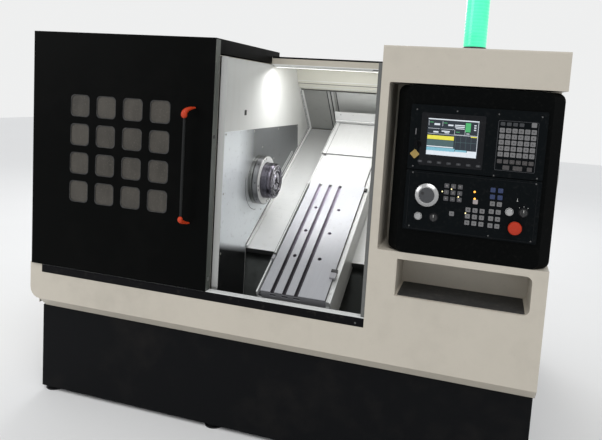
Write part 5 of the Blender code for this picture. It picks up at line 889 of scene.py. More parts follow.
class LATHE_OT_door(DressingOperator, bpy.types.Operator):
    """Adds the window gaskets, the edge strip and the inner clips of the sliding door"""
    bl_idname = "lathe.door"
    bl_label = "Dress the door"

    def make(self, sizes):
        gaskets = Form()
        half = WINDOW_SIZE / 2
        inset = half - sizes.gasket
        for _, _, across, up in field(WINDOW_LEFT, WINDOW_TOP, 4, 4, WINDOW_PITCH):
            outer = soft_pad(across, up, half, half, WINDOW_ROUND)
            inner = soft_pad(across, up, inset, inset, WINDOW_ROUND + 0.004)
            gaskets.frame_prism(outer, inner, "Y", DOOR_FACE + 0.0008, DOOR_FACE + 0.003)
        gaskets.piece("window_gaskets", "door", "rubber", "rubber", 0.0005)
        for name, slot, finish, outline, start, end, edge in DOOR_EDGE:
            form = Form().prism(outline, "X", DOOR_RIGHT + start, DOOR_RIGHT + end)
            form.piece(name, "door", slot, finish, edge)
        stiffeners = Form()
        for across in (0.15, 0.72):
            stiffeners.prism(
                soft_rect(across - 0.022, across + 0.022, 0.002, 0.018, 0.003, 2), "Z", 0.64, 1.5,
            )
        stiffeners.piece("door_stiffeners", "door", "black_paint", "door_black", 0.001)
        clips = Form()
        for across in (0.176, 0.3, 0.434, 0.56, 0.69):
            for up in (0.862, 1.382):
                clips.prism(soft_pad(across, up, 0.012, 0.01, 0.003, 2), "Y", 0.0014, 0.005)
                clips.screw((across, 0.005, up), (0, 1, 0), sizes.screw * 0.8, 0.4)
        clips.piece("pane_clips", "door", "dark_steel", "black_screw")


class LATHE_OT_handle(DressingOperator, bpy.types.Operator):
    """Builds the smooth grip with its two curved end caps"""
    bl_idname = "lathe.handle"
    bl_label = "Build the handle"

    def make(self, sizes):
        inner = HANDLE_X - HANDLE_LEAN
        for name, end, inward, thick, reach, climb, shift in HANDLE_ENDS:
            route, radii = [(HANDLE_X + shift, DOOR_FACE - 0.0003, end)], [0.0036]
            for step in range(1, 17):
                turn = step * pi / 32
                route.append((
                    HANDLE_X + shift - (HANDLE_LEAN + shift) * sin(turn),
                    DOOR_FACE + (HANDLE_OUT - DOOR_FACE) * sin(turn),
                    end + inward * 0.66 * reach * ((1 - climb) * (1 - cos(turn)) + climb * sin(turn)),
                ))
                radii.append(0.0036 + (thick - 0.0036) * sin(turn * 0.95) ** 1.2)
            for run, share in ((0.76, 0.98), (0.85, 0.9), (0.92, 0.78), (0.97, 0.62), (1.0, 0.48)):
                out = HANDLE_OUT + (GRIP_OUT - HANDLE_OUT) * (run - 0.66) / 0.34
                route.append((inner, out, end + inward * run * reach))
                radii.append(thick * share)
            horn = Form().sweep(route, radii, 40)
            horn.piece(
                "handle_horn_" + name, "door", "orange_plastic", "orange", replaces=("handle_cap_" + name,),
            )
        grip = Form()
        low_end, high_end = HANDLE_ENDS[1][1] + 0.0327, HANDLE_ENDS[0][1] - 0.0387
        route = [(inner, GRIP_OUT, low_end + (high_end - low_end) * step / 24) for step in range(25)]
        radii = [0.0052 + 0.0006 * sin(step * pi / 24) for step in range(25)]
        grip.sweep(route, radii, 32)
        grip.piece("handle_grip", "door", "grey_plastic", "grip", replaces=("handle_bar",))


# Spindle

RING = 0.1146
PLUG_REACH = 0.1144


class LATHE_OT_spindle(DressingOperator, bpy.types.Operator):
    """Builds the bearing ring, the bolted face ring, the grooved nose and its jaws"""
    bl_idname = "lathe.spindle"
    bl_label = "Dress the spindle"

    def make(self, sizes):
        axis = (0, SPINDLE.y - FRONT_PLANE, SPINDLE.z)
        cover_back, cover_face = span("bearing_cover")
        flange = span("nose_cap")[0]
        start = cover_face + 0.0022
        end = NOSE_END - LEFT_SIDE + 0.008
        cover = Form().turn([
            (cover_back + 0.0024, 0.0925), (cover_face, 0.0925), (cover_face, 0.112),
            (cover_face - 0.0014, RING),
            (cover_face - 0.01, RING), (cover_face - 0.0106, 0.1132), (cover_face - 0.0116, 0.1132),
            (cover_face - 0.0122, RING), (cover_back + 0.0032, RING), (cover_back + 0.0024, 0.1136),
        ], axis, "X", sizes.facets)
        back = cover_back + 0.0024
        cover.turn(
            [(back, 0.06), (cover_face, 0.06), (cover_face, 0.092), (back, 0.092)], axis, "X", sizes.facets,
        )
        cover.piece("bearing_ring", "frame", "bright_steel", "bearing", replaces=("bearing_cover",))
        ring = Form().turn([
            (start, 0.0985), (start, 0.1138), (start + 0.001, RING), (flange - 0.003, RING),
            (flange - 0.0024, 0.1134), (flange - 0.0016, 0.1134), (flange - 0.001, RING),
            (flange + 0.0014, RING), (flange + 0.0026, 0.1132), (flange + 0.0026, 0.0985),
        ], axis, "X", sizes.facets)
        ring.piece("spindle_side_ring", "spindle", "bright_steel", "turned")
        face = Form().turn([
            (flange + 0.0003, 0.0842), (flange + 0.0022, 0.0842), (flange + 0.0028, 0.085),
            (flange + 0.0029, 0.086), (flange + 0.0029, 0.1112), (flange + 0.0026, 0.1118),
            (flange + 0.0026, 0.0984), (flange + 0.0003, 0.0984),
        ], axis, "X", sizes.facets)
        face.piece("spindle_face_ring", "spindle", "bright_steel", "ring_face")
        bolts = Form()
        for index in range(4):
            for offset in (-0.1, 0.1):
                turn = index * pi / 2 + 0.25 + offset
                spot = (flange + 0.0026, axis[1] + 0.102 * cos(turn), axis[2] + 0.102 * sin(turn))
                bolts.screw(spot, (1, 0, 0), 0.005, 0.12)
        for index in range(8):
            body = Vector((0, cos(index * pi / 4), sin(index * pi / 4)))
            bolts.screw(Vector((flange - 0.009, axis[1], axis[2])) + body * PLUG_REACH, body, 0.0036, 0.12)
        bolts.piece("spindle_ring_screws", "spindle", "dark_steel", "black_screw")
        plugs = Form()
        for index in range(8):
            turn = index * pi / 4 + 0.35
            body = Vector((0, cos(turn), sin(turn)))
            plugs.screw(
                Vector((cover_back + 0.006, axis[1], axis[2])) + body * PLUG_REACH, body, 0.0026, 0.25,
            )
        plugs.piece("bearing_ring_screws", "frame", "dark_steel", "black_screw")
        nose = Form().turn([
            (flange + 0.0003, 0.041), (end - 0.012, 0.041), (end - 0.001, 0.049), (end, 0.0505), (end, 0.074),
            (end - 0.0012, 0.0775), (end - 0.004, 0.0802), (end - 0.0075, 0.0822), (end - 0.009, 0.0832),
            (end - 0.0172, 0.0832), (end - 0.0176, 0.0805), (end - 0.02, 0.0805), (end - 0.0204, 0.0832),
            (end - 0.032, 0.0832), (end - 0.0324, 0.0822), (end - 0.0332, 0.0822), (end - 0.0336, 0.0832),
            (flange + 0.0003, 0.0832),
        ], axis, "X", sizes.facets)
        nose.piece("collet_nose", "spindle", "ground_steel", "nose", replaces=("nose_cap",))
        rims = Form()
        for inside in (0.0712, 0.0506):
            rims.turn([
                (end - 0.0002, inside), (end + 0.0006, inside + 0.0006), (end + 0.0006, inside + 0.0024),
                (end - 0.0002, inside + 0.003),
            ], axis, "X", sizes.facets)
        for index in range(6):
            turn = index * pi / 3 + 0.3
            spot = (end - 0.0002, axis[1] + 0.0622 * cos(turn), axis[2] + 0.0622 * sin(turn))
            rims.screw(spot, (1, 0, 0), 0.0046, 0.25)
        rims.piece("nose_rims", "spindle", "bright_steel", "nose_rim")
        jaws = Form()
        for index in range(3):
            middle = index * tau / 3 + 0.6
            for inside, outside, narrow, wide, steps, start, stop in (
                (0.017, 0.0405, 0.86, 0.93, 12, 0.0038, 0.0022), (0.018, 0.03, 0.72, 0.8, 10, 0.0021, 0.0004),
            ):
                outline = arc(axis[1:], outside, middle - wide, middle + wide, steps)
                outline += arc(axis[1:], inside, middle + narrow, middle - narrow, 8)
                jaws.prism(outline, "X", end - start, end - stop)
        jaws.piece("chuck_jaws", "collet_body", "bright_steel", "nose_rim", 0.0005)


# Tool plate and slide

PLATE_LONG = 0.72
PLATE_LOW = -0.04
SLOTS = (0.05, 0.1, 0.15)
SLOT_HALF = 0.0085
NECK = -0.014
HEAD_HALF = 0.013
HEAD_LOW = -0.024
HOLE_ROWS = (0.212, 0.372, 0.532)
HOLE_COLUMNS = (0.077, 0.187)


class LATHE_OT_tool_plate(DressingOperator, bpy.types.Operator):
    """Builds the T-slotted plate with its holes, painted shade in its slots and holes, strips and stops"""
    bl_idname = "lathe.tool_plate"
    bl_label = "Build the tool plate"

    def make(self, sizes):
        left, right = span("tool_plate")
        self.plate(left, right)
        self.slots(left)
        self.strips(left, right)
        self.stops(left, right)

    def plate(self, left, right):
        lands = [left] + [left + slot + side for slot in SLOTS for side in (-SLOT_HALF, SLOT_HALF)] + [right]
        cores = [left] + [left + slot + side for slot in SLOTS for side in (-HEAD_HALF, HEAD_HALF)] + [right]
        plate = Form(ON_SLOPE)
        for index in range(4):
            holes = []
            if index in (1, 3):
                across = left + HOLE_COLUMNS[index // 2]
                holes = [arc((across, row), 0.0072, 0, tau, 24)[:-1] for row in HOLE_ROWS]
            start, end = lands[2 * index], lands[2 * index + 1]
            plate.plate(rect(start, end, 0.0, PLATE_LONG), holes, "Z", NECK, 0.0)
            plate.prism(rect(cores[2 * index], cores[2 * index + 1], HEAD_LOW, NECK), "Y", 0.0, PLATE_LONG)
        plate.prism(rect(left, right, PLATE_LOW, HEAD_LOW), "Y", 0.0, PLATE_LONG)
        plate.piece("slotted_plate", "cross_body", "ground_steel", "ground", replaces=("tool_plate",))
        front = Form(ON_SLOPE).plate(
            rect(left + 0.0006, right - 0.0006, -0.0392, -0.007),
            [self.head(left + slot, 0.0004) for slot in SLOTS], "Y", -0.0006, -0.0001,
        )
        front.piece("plate_front", "cross_body", "ground_steel", "plate_front")
        # painted shade: a dark strip under the front edge of each land
        line = Form(ON_SLOPE)
        for index in range(4):
            line.prism(
                rect(lands[2 * index] + 0.0004, lands[2 * index + 1] - 0.0004, -0.0066, -0.005), "Y",
                -0.0005, -0.0001,
            )
        line.piece("plate_front_line", "cross_body", "dark_steel", "painted_shade_line")

    def head(self, middle, grow):
        return rect(middle - HEAD_HALF - grow, middle + HEAD_HALF + grow, HEAD_LOW - grow, NECK + grow)

    def slots(self, left):
        # painted shade: dark sheets inside each T-slot, where shade falls
        dark = Form(ON_SLOPE)
        for slot in SLOTS:
            middle = left + slot
            dark.prism(
                rect(middle - HEAD_HALF + 0.0004, middle + HEAD_HALF - 0.0004, HEAD_LOW + 0.0002, -0.021),
                "Y", 0.003, 0.717,
            )
            for side in (-1, 1):
                wall = middle + side * (SLOT_HALF - 0.0002)
                dark.prism(
                    rect(min(wall, wall - side * 0.0006), max(wall, wall - side * 0.0006), NECK, -0.003),
                    "Y", 0.003, 0.717,
                )
            dark.prism(
                rect(middle - HEAD_HALF + 0.0004, middle + HEAD_HALF - 0.0004, -0.0209, NECK - 0.0003), "Y",
                0.0012, 0.003,
            )
        dark.piece("slot_shade_sheets", "cross_body", "dark_steel", "shaded_slot")
        # painted shade: dark cups inside the bolt holes
        holes = Form(ON_SLOPE)
        for across in (left + column for column in HOLE_COLUMNS):
            for row in HOLE_ROWS:
                holes.turn([
                    (-0.0002, 0.0088), (0.0002, 0.0088), (0.0002, 0.0071), (-0.0128, 0.0066), (-0.013, 0),
                    (-0.0135, 0), (-0.0135, 0.007), (-0.0002, 0.007),
                ], (across, row, 0), "Z", 24, False)
        holes.piece("bolt_hole_shade_sheets", "cross_body", "dark_steel", "shaded_slot")

    def strips(self, left, right):
        strips = Form(ON_SLOPE).prism(
            rect(right + 0.0004, right + 0.0148, -0.0402, -0.012), "Y", 0.004, 0.716,
        )
        strips.piece("plate_edge_strips", "cross_body", "stainless", "slide", 0.0008)
        # painted shade: dark strips in the gaps beside the plate and its edge strip
        grooves = Form(ON_SLOPE).prism(
            rect(left - 0.0148, left - 0.0003, -0.0402, -0.03), "Y", 0.004, 0.716,
        )
        grooves.prism(rect(left - 0.0238, left - 0.0213, -0.06, -0.014), "Y", 0.002, 0.718)
        grooves.prism(rect(right + 0.0003, right + 0.0012, -0.0119, -0.003), "Y", 0.002, 0.718)
        grooves.piece("plate_edge_lines", "cross_body", "dark_steel", "painted_shade_line")
        spots = [(right + 0.0078, along, -0.012) for along in (0.0477, 0.67)]
        screw_row("strip_screws", "stainless", "zinc", spots, (0, 0, 1), 0.0042, 0.4, "cross_body", ON_SLOPE)

    def stops(self, left, right):
        blocks = Form(ON_SLOPE).prism(rect(right - 0.012, right + 0.0135, 0.0002, 0.01), "Y", 0.112, 0.142)
        blocks.prism(rect(left - 0.0145, left - 0.002, -0.0298, 0.006), "Y", 0.172, 0.197)
        blocks.piece("slide_stops", "cross_body", "bright_steel", "plate_front", 0.001)
        caps = Form(ON_SLOPE).prism(rect(right - 0.013, right + 0.014, 0.0002, 0.013), "Y", 0.1425, 0.157)
        caps.prism(rect(left - 0.015, left - 0.0015, -0.0298, 0.008), "Y", 0.1975, 0.207)
        caps.prism(rect(right + 0.0006, right + 0.014, -0.0119, -0.003), "Y", 0.696, 0.715)
        caps.piece("slide_stop_caps", "cross_body", "dark_steel", "knob", 0.0016)


SLIDE_START = 0.7203
HOOD_END = 1.274
WAY_TOP = -0.118


class LATHE_OT_covers(DressingOperator, bpy.types.Operator):
    """Builds the stepped slide cover and adds the folds and lips of the other sheet covers"""
    bl_idname = "lathe.covers"
    bl_label = "Dress the way covers"

    def make(self, sizes):
        self.slide_cover()
        self.hood()
        self.way_covers()

    def slide_cover(self):
        left, right = span("slide_cover")
        path = [
            (left - 0.028, -0.038), (left - 0.028, -0.012), (left - 0.0225, -0.012), (left - 0.0225, -0.02),
            (left - 0.002, -0.02), (left - 0.002, -0.01), (right + 0.002, -0.01), (right + 0.002, -0.02),
            (right + 0.0225, -0.02), (right + 0.0225, -0.012), (right + 0.028, -0.012),
            (right + 0.028, -0.038),
        ]
        cover = Form(ON_SLOPE).prism(band(path[::-1], 0.0012), "Y", SLIDE_START, SLIDE_START + 0.28)
        cover.piece("stepped_slide_cover", "cross_body", "stainless", "hood", replaces=("slide_cover",))
        # painted shade: dark strips along the cover's steps
        lines = Form(ON_SLOPE)
        for across in (left - 0.005, right + 0.0022):
            lines.prism(
                rect(across, across + 0.0026, -0.0198, -0.0186), "Y", SLIDE_START, SLIDE_START + 0.25,
            )
        lines.piece("slide_cover_lines", "cross_body", "dark_steel", "painted_shade_line")

    def hood(self):
        left, right = span("rear_shield")
        # painted shade: dark lines along the shield's folds and under its steps
        lines = Form(ON_SLOPE).prism(
            rect(left + 0.0006, right - 0.0006, -0.006, -0.0036), "Y", 0.972, 0.9729,
        )
        lines.prism(rect(left + 0.02, right - 0.002, -0.004, -0.0034), "Y", 1.272, 1.2745)
        for rise in (0.013, 0.047):
            lines.prism(rect(left + 0.003, right - 0.003, rise - 0.0036, rise - 0.0001), "Y", 1.269, 1.2745)
        lines.prism(rect(left + 0.003, left + 0.0046, -0.004, -0.0036), "Y", 0.975, 1.27)
        lines.prism(rect(left + 0.025, left + 0.0266, -0.004, -0.0036), "Y", 0.975, 1.27)
        lines.piece("hood_lines", "saddle_body", "dark_steel", "painted_shade_line")
        steps = Form(ON_SLOPE)
        for rise, reach in ((0.013, 0.01), (0.047, 0.006), (0.068, 0.003)):
            steps.prism(
                rect(left + 0.002, right - 0.002, rise, rise + 0.003), "Y", HOOD_END - reach - 0.01 * rise,
                HOOD_END,
            )
        steps.piece("shield_steps", "saddle_body", "stainless", "hood", 0.0005)
        spots = ((1.149, 1.267, 0.061), (1.079, 1.267, 0.057), (1.3, 1.267, 0.061))
        screw_row(
            "shield_screws", "stainless", "dull_screw", spots, (0, -1, 0), 0.0036, body="saddle_body",
            place=ON_SLOPE,
        )

    def way_covers(self):
        lips = Form(ON_SLOPE).prism(
            rect(0.863, 0.985, WAY_TOP + 0.0002, WAY_TOP + 0.0024), "Y", 1.354, 1.36,
        )
        for edge in (span("way_cover_left")[1], span("way_cover_right")[0]):
            lips.prism(
                rect(edge - 0.002, edge + 0.002, WAY_TOP + 0.0002, WAY_TOP + 0.0026), "Y", 0.336, 1.352,
            )
        lips.piece("cover_folds", "saddle_body", "stainless", "sill", 0.0005)


# Chamber

CEILING = 1.5372
CEILING_LINES = (
    # painted highlight: pale strips on the ceiling's fold edges
    ("lintel_edge", "white_paint", "white", (
        rect(0.5975, 0.603, 1.5366, 1.541), (
            (1.008, 1.4796), (1.01, 1.477), (1.009, 1.476), (1.0068, 1.4788),
        ),
        ((1.04, 1.4464), (1.043, 1.4446), (1.042, 1.4432), (1.039, 1.4452)),
    )),
    # painted shadow: dark strips in the ceiling's folds
    ("ceiling_shadow_lines", "dark_steel", "painted_shade_line", (
        ((1.023, 1.465), (1.025, 1.463), (1.0244, 1.4622), (1.0222, 1.4644)),
        ((1.076, 1.434), (1.08, 1.4328), (1.0797, 1.4312), (1.0756, 1.4326)),
    )),
)


class LATHE_OT_chamber(DressingOperator, bpy.types.Operator):
    """Builds the ceiling, the spindle plate, the wiper trim and the rear panel's folds"""
    bl_idname = "lathe.chamber"
    bl_label = "Build the chamber's sheets"

    def make(self, sizes):
        self.ceiling()
        self.plate(sizes)
        self.trim(sizes)
        self.rear()
        self.marks()

    def ceiling(self):
        start, end = span("lintel")
        roof = Form().prism(band([
            (0.603, CEILING), (0.985, CEILING), (0.992, 1.522), (1.009, 1.479), (1.042, 1.445),
            (1.079, 1.433),
        ], 0.0016), "X", start, end)
        roof.piece("folded_ceiling", "frame", "white_paint", "ceiling", replaces=("lintel",))
        face = Form().prism(
            band([(0.602, CEILING), (0.6, CEILING), (0.6, 1.5682), (0.71, 1.5682)][::-1], 0.0016), "X",
            start, end,
        )
        face.piece("lintel_face", "frame", "cream_paint", "cream")
        for name, slot, finish, outlines in CEILING_LINES:
            form = Form()
            for outline in outlines:
                form.prism(outline, "X", start, end)
            form.piece(name, "frame", slot, finish)

    def plate(self, sizes):
        back, face = span("spindle_plate")
        hole = arc((SPINDLE.y - FRONT_PLANE, SPINDLE.z), 0.0925, 0, tau, 72)[:-1]
        foot = slope_spot(0.33, -0.096)
        last = slope_spot(1.1222, -0.096)
        outline = [(0.11, 0.4075), (foot[0], 0.4075), foot, last, (1.052, 1.234), (0.11, 1.234)]
        plate = Form().plate(outline, [hole], "X", back, face)
        plate.piece("spindle_sheet", "frame", "stainless", "stainless", 0.0006, replaces=("spindle_plate",))
        spots = [(face, deep, up) for deep, up in (
            (0.423, 1.224), (0.74, 1.2225), (1.04, 1.224), (0.533, 1.1436), (0.695, 1.0755), (0.397, 0.907),
            (0.5545, 0.839), (0.544, 0.787), (0.12, 1.224), (0.12, 0.977), (0.12, 0.724),
        )]
        screw_row("spindle_plate_screws", "stainless", "zinc", spots, (1, 0, 0), sizes.screw)
        # painted shadow: a thin dark arc on the sheet below and in front of the bearing ring
        painted_shade_line = Form()
        centre = SPINDLE.y - FRONT_PLANE, SPINDLE.z
        outer = arc(centre, 0.144, radians(172), radians(268), 30)
        inner = arc(centre, 0.1422, radians(268), radians(172), 30)
        painted_shade_line.prism(outer + inner, "X", face, face + 0.0006)
        painted_shade_line.piece("spindle_plate_shadow_arc", "frame", "dark_steel", "painted_shade_line")

    def trim(self, sizes):
        back = span("bulkhead_trim")[0]
        corner = slope_spot(1.365, -0.114)
        end = (1.09, 1.429)
        face = back + 0.002
        path = [slope_spot(0.331, -0.114), corner, end]
        # painted shade: the trim's base is laid as a dark band
        groove = band(path, 0.025)
        base = Form().prism(groove, "X", back, face)
        base.piece("trim_groove", "frame", "stainless", "painted_shade_line", replaces=("bulkhead_trim",))
        # painted highlight: pale raised strips along the trim's lit edges
        bright = Form().prism(band(path, 0.0115), "X", face, back + 0.011)
        bright.prism(band(groove[:2:-1], -0.0022), "X", face, back + 0.0045)
        bright.piece("trim_edges", "frame", "stainless", "painted_edge_highlight", 0.0005)
        spots = [(face, *slope_spot(along, -0.1)) for along in (0.42, 0.6, 0.78, 0.96, 1.14, 1.31)]
        for share in (0.1, 0.38, 0.66, 0.92):
            deep = corner[0] + (end[0] - corner[0]) * share - 0.0125
            spots.append((face, deep, corner[1] + (end[1] - corner[1]) * share - 0.009))
        screw_row("trim_screws", "stainless", "zinc", spots, (1, 0, 0), sizes.screw * 0.7)
        # painted highlight: a pale outline round the bulkhead slot
        loop = Form()
        top = slope_spot(1.03, -0.063)
        first, last = SLANT - pi / 2, SLANT + pi / 2
        outlines = [
            band([slope_spot(0.67, rise), slope_spot(1.03, rise)], 0.0028) for rise in (-0.07, -0.056)
        ]
        for outline in (*outlines, arc(top, 0.009, first, last, 10) + arc(top, 0.0072, last, first, 10)):
            loop.prism(outline, "X", back + 0.0021, back + 0.0031)
        loop.piece("bulkhead_slot_outline", "frame", "dark_steel", "painted_edge_highlight")

    def rear(self):
        end = span("inner_rear_panel")[1]
        high_spot, low_spot = Vector((1.0835, 1.429)), Vector((1.293, 1.2046))
        run = (low_spot - high_spot).normalized()
        toward_front = Vector((run.y, -run.x))

        def skin(lift, thick):
            return [
                tuple(high_spot + toward_front * lift), tuple(low_spot + toward_front * lift),
                tuple(low_spot + toward_front * (lift + thick)),
                tuple(high_spot + toward_front * (lift + thick)),
            ]

        # painted shade: dark strips along the rear panel's folds
        folds = Form()
        for across in (1.0, 1.021, 1.052):
            folds.prism(skin(0.0022, 0.0009), "X", across - 0.0024, across + 0.0024)
        folds.piece("rear_panel_folds", "frame", "dark_steel", "painted_shade_line")
        sheet = Form().prism(skin(0.0024, 0.001), "X", 1.0548, end - 0.001)
        for across in (1.0035, 1.0245):
            sheet.prism(skin(0.0024, 0.001), "X", across, across + 0.011)
        sheet.piece("rear_panel_right", "frame", "stainless", "rear_light")

    def marks(self):
        slot = Form().prism(soft_rect(0.304, 0.326, 1.299, 1.322, 0.003, 3), "X", 0.8512, 0.852)
        slot.piece("bulkhead_slot", "frame", "rubber", "rubber")
        clip = Form().prism(rect(1.346, 1.386, 1.533, 1.5366), "Y", 0.604, 0.612)
        clip.piece("lintel_clip", "frame", "dark_steel", "black_screw")


class LATHE_OT_lamp(DressingOperator, bpy.types.Operator):
    """Builds the work lamp's flat housing with its lit lens"""
    bl_idname = "lathe.lamp"
    bl_label = "Build the work lamp"

    def make(self, sizes):
        start, end = span("work_lamp")
        deep = low("work_lamp").y - FRONT_PLANE
        back = high("work_lamp").y - FRONT_PLANE
        bottom, top = low("work_lamp").z, high("work_lamp").z
        housing = Form().prism([
            (deep, top), (deep + 0.004, bottom), (deep + 0.007, bottom), (deep + 0.007, bottom + 0.002),
            (back - 0.007, bottom + 0.002), (back - 0.007, bottom), (back - 0.004, bottom), (back, top),
        ], "X", start, end)
        housing.piece("lamp_housing", "frame", "white_paint", "white", 0.0005, replaces=("work_lamp",))
        lens = Form().prism(
            soft_rect(start + 0.008, end - 0.008, deep + 0.0074, back - 0.0074, 0.004, 3), "Z", bottom,
            bottom + 0.0019,
        )
        lens.piece("lamp_lens", "frame", "white_paint", "tube")


# Controls

PANEL = -0.008
SCREEN = (1.6766, 1.851, 1.2252, 1.3552)
KEY = (0.0164, 0.0158)
LETTER_KEY = (0.0166, 0.016)
LETTERS = (1.9255, 1.331, 6, 5, (0.0202, 0.0202))
FIELDS = (
    (1.7595, 1.1245, 3, 3, (0.0228, 0.0225)), (1.8373, 1.0487, 3, 3, (0.0236, 0.02265)),
    (1.9146, 1.0514, 2, 3, (0.0226, 0.02435)), (1.9159, 1.0788, 2, 1, (0.0227, 0.02)),
    (1.7835, 1.0285, 1, 1, (0.02, 0.02)),
)


def keys(form, sizes, left, top, columns, rows, pitch, size):
    """A field of soft-cornered keys; left and top are the first key's middle."""
    for _, _, across, up in field(left, top, columns, rows, pitch):
        outline = soft_pad(across, up, size[0] / 2, size[1] / 2, sizes.key_round, 3)
        form.prism(outline, "Y", PANEL - sizes.key_rise, PANEL - 0.0002)


def legends(form, sizes, left, top, columns, rows, pitch, kinds, reach):
    """Small plain marks on a field of keys: bars, crosses and angles, none a real word."""
    front = PANEL - sizes.key_rise
    for column, row, across, up in field(left, top, columns, rows, pitch):
        for x0, x1, z0, z1 in MARKS[kinds[(column * 3 + row * 5) % len(kinds)]]:
            mark = rect(across + x0 * reach, across + x1 * reach, up + z0 * reach, up + z1 * reach)
            form.prism(mark, "Y", front - 0.0003, front)


def key_pieces(sizes, table):
    """Makes a piece of keys or of their marks from each row of a table."""
    for name, finish, build, fields in table:
        form = Form()
        for field in fields:
            build(form, sizes, *field)
        form.piece(name, "frame", "grey_plastic", finish, 0.0006 if build is keys else 0.0)


def boss(form, spot, profile, facets=40, closed=False):
    """Revolves a profile of (height over the panel, radius) on the control panel."""
    form.turn([(PANEL - rise, radius) for rise, radius in profile], spot, "Y", facets, closed)


MARKS = {
    "bar": ((-0.7, 0.7, -0.15, 0.15),),
    "cross": ((-0.7, 0.7, -0.14, 0.14), (-0.14, 0.14, -0.7, -0.15), (-0.14, 0.14, 0.15, 0.7)),
    "angle": ((-0.6, -0.3, -0.7, 0.7), (-0.29, 0.6, -0.7, -0.4)),
    "two": ((-0.7, 0.7, 0.2, 0.5), (-0.7, 0.7, -0.5, -0.2)),
    "gate": ((-0.6, -0.3, -0.7, 0.7), (0.3, 0.6, -0.7, 0.7), (-0.29, 0.29, 0.4, 0.7)),
    "post": ((-0.15, 0.15, -0.7, 0.7),),
}


def panel_screws(name, spots):
    spots = [(across, PANEL, up) for across, up in spots]
    screw_row(name, "stainless", "dull_screw", spots, (0, -1, 0), 0.0026)


def domes(name, finish, radius, spots):
    """Small lit domes on the film."""
    lights = Form()
    for across, up in spots:
        profile = ((0, radius), (radius * 0.4, radius), (radius * 0.75, radius * 0.6), (radius * 0.8, 0))
        boss(lights, (across, 0, up), profile, 20)
    lights.piece(name, "frame", "screen_glass", finish)


# Fields of keys: first key's middle, columns, rows, pitch, and the key's size or its marks and their reach
ROW_PITCH = (0.0202, 0.02)
SOFT_ROW = (1.66, 1.202, 7, 1, (0.033, 0.01))
EDIT_ROW = (1.9255, 1.2262, 6, 1, ROW_PITCH)
DISPLAY_KEYS = (
    (
        "letter_keys", "key_grey", keys,
        ((*LETTERS, LETTER_KEY), (2.025, 1.3546, 1, 1, LETTER_KEY, LETTER_KEY)),
    ),
    ("upper_keys", "key_dim", keys, ((1.9255, 1.3524, 4, 1, ROW_PITCH, (0.015, 0.012)),)),
    ("edit_keys", "key_dark", keys, (
        (*EDIT_ROW, (0.016, 0.014)), (1.948, 1.206, 1, 1, ROW_PITCH, (0.022, 0.015)),
        (1.985, 1.206, 1, 1, ROW_PITCH, (0.03, 0.015)), (2.023, 1.206, 1, 1, ROW_PITCH, (0.016, 0.014)),
    )),
    ("soft_keys", "key_dim", keys, ((*SOFT_ROW, (0.015, 0.008)),)),
    (
        "letter_marks", "legend", legends,
        ((*LETTERS, ("bar", "angle", "cross", "gate", "two", "post"), 0.004),),
    ),
    ("soft_key_marks", "key_grey", legends, (
        (*SOFT_ROW, ("two", "bar"), 0.003), (*EDIT_ROW, ("bar", "angle"), 0.0026),
    )),
)
KINDS = ("gate", "bar", "cross", "angle", "two", "post")
OPERATOR_KEYS = (
    ("mode_keys", "key_low", keys, ((*FIELDS[0], KEY),)),
    ("mode_marks", "key_light", legends, ((*FIELDS[0], KINDS, 0.004),)),
    ("operation_keys", "key_grey", keys, [(*field, KEY) for field in FIELDS[1:]]),
    ("operation_marks", "legend", legends, [(*field, KINDS, 0.004) for field in FIELDS[1:]]),
    ("axis_keys", "key_blue", keys, ((1.9139, 1.1257, 2, 2, (0.0248, 0.0236), KEY),)),
    ("start_key", "key_light", keys, ((1.8594, 1.0788, 1, 1, KEY, KEY),)),
)

# Lit patches of the screen, as shares of its width and height: left, right, bottom, top
PICTURE = {
    "white": (
        (0.01, 0.99, 0.965, 0.995), (0.13, 0.24, 0.82, 0.87), (0.4, 0.5, 0.82, 0.86),
        (0.53, 0.72, 0.84, 0.865), (0.53, 0.72, 0.795, 0.82), (0.55, 0.72, 0.755, 0.775),
        (0.12, 0.22, 0.62, 0.66), (0.28, 0.44, 0.655, 0.685), (0.34, 0.43, 0.62, 0.645),
        (0.76, 0.82, 0.635, 0.655), (0.9, 0.94, 0.86, 0.89), (0.9, 0.94, 0.8, 0.83), (0.9, 0.94, 0.74, 0.77),
        (0.01, 0.24, 0.725, 0.733), (0.26, 0.52, 0.725, 0.733), (0.01, 0.98, 0.585, 0.593),
        (0.54, 0.98, 0.6, 0.606), (0.53, 0.536, 0.6, 0.73), (0.975, 0.983, 0.1, 0.96),
        (0.01, 0.53, 0.235, 0.262), (0.01, 0.98, 0.02, 0.15), (0.8, 0.98, 0.13, 0.19),
        (0.29, 0.296, 0.8, 0.93), (0.02, 0.026, 0.8, 0.93), (0.73, 0.736, 0.6, 0.73),
    ),
    "sky": ((0.01, 0.56, 0.135, 0.225), (0.57, 0.79, 0.15, 0.2)),
    "yellow": ((0.01, 0.53, 0.44, 0.545), (0.85, 0.97, 0.555, 0.58)),
    "green": (
        (0.735, 0.835, 0.69, 0.93), (0.04, 0.11, 0.885, 0.9), (0.31, 0.38, 0.885, 0.9),
        (0.56, 0.63, 0.665, 0.68),
    ),
    "teal": (
        (0.01, 0.53, 0.27, 0.43), (0.56, 0.565, 0.22, 0.56), (0.66, 0.665, 0.22, 0.56),
        (0.76, 0.765, 0.22, 0.56), (0.86, 0.865, 0.22, 0.56), (0.55, 0.96, 0.4, 0.408),
    ),
}


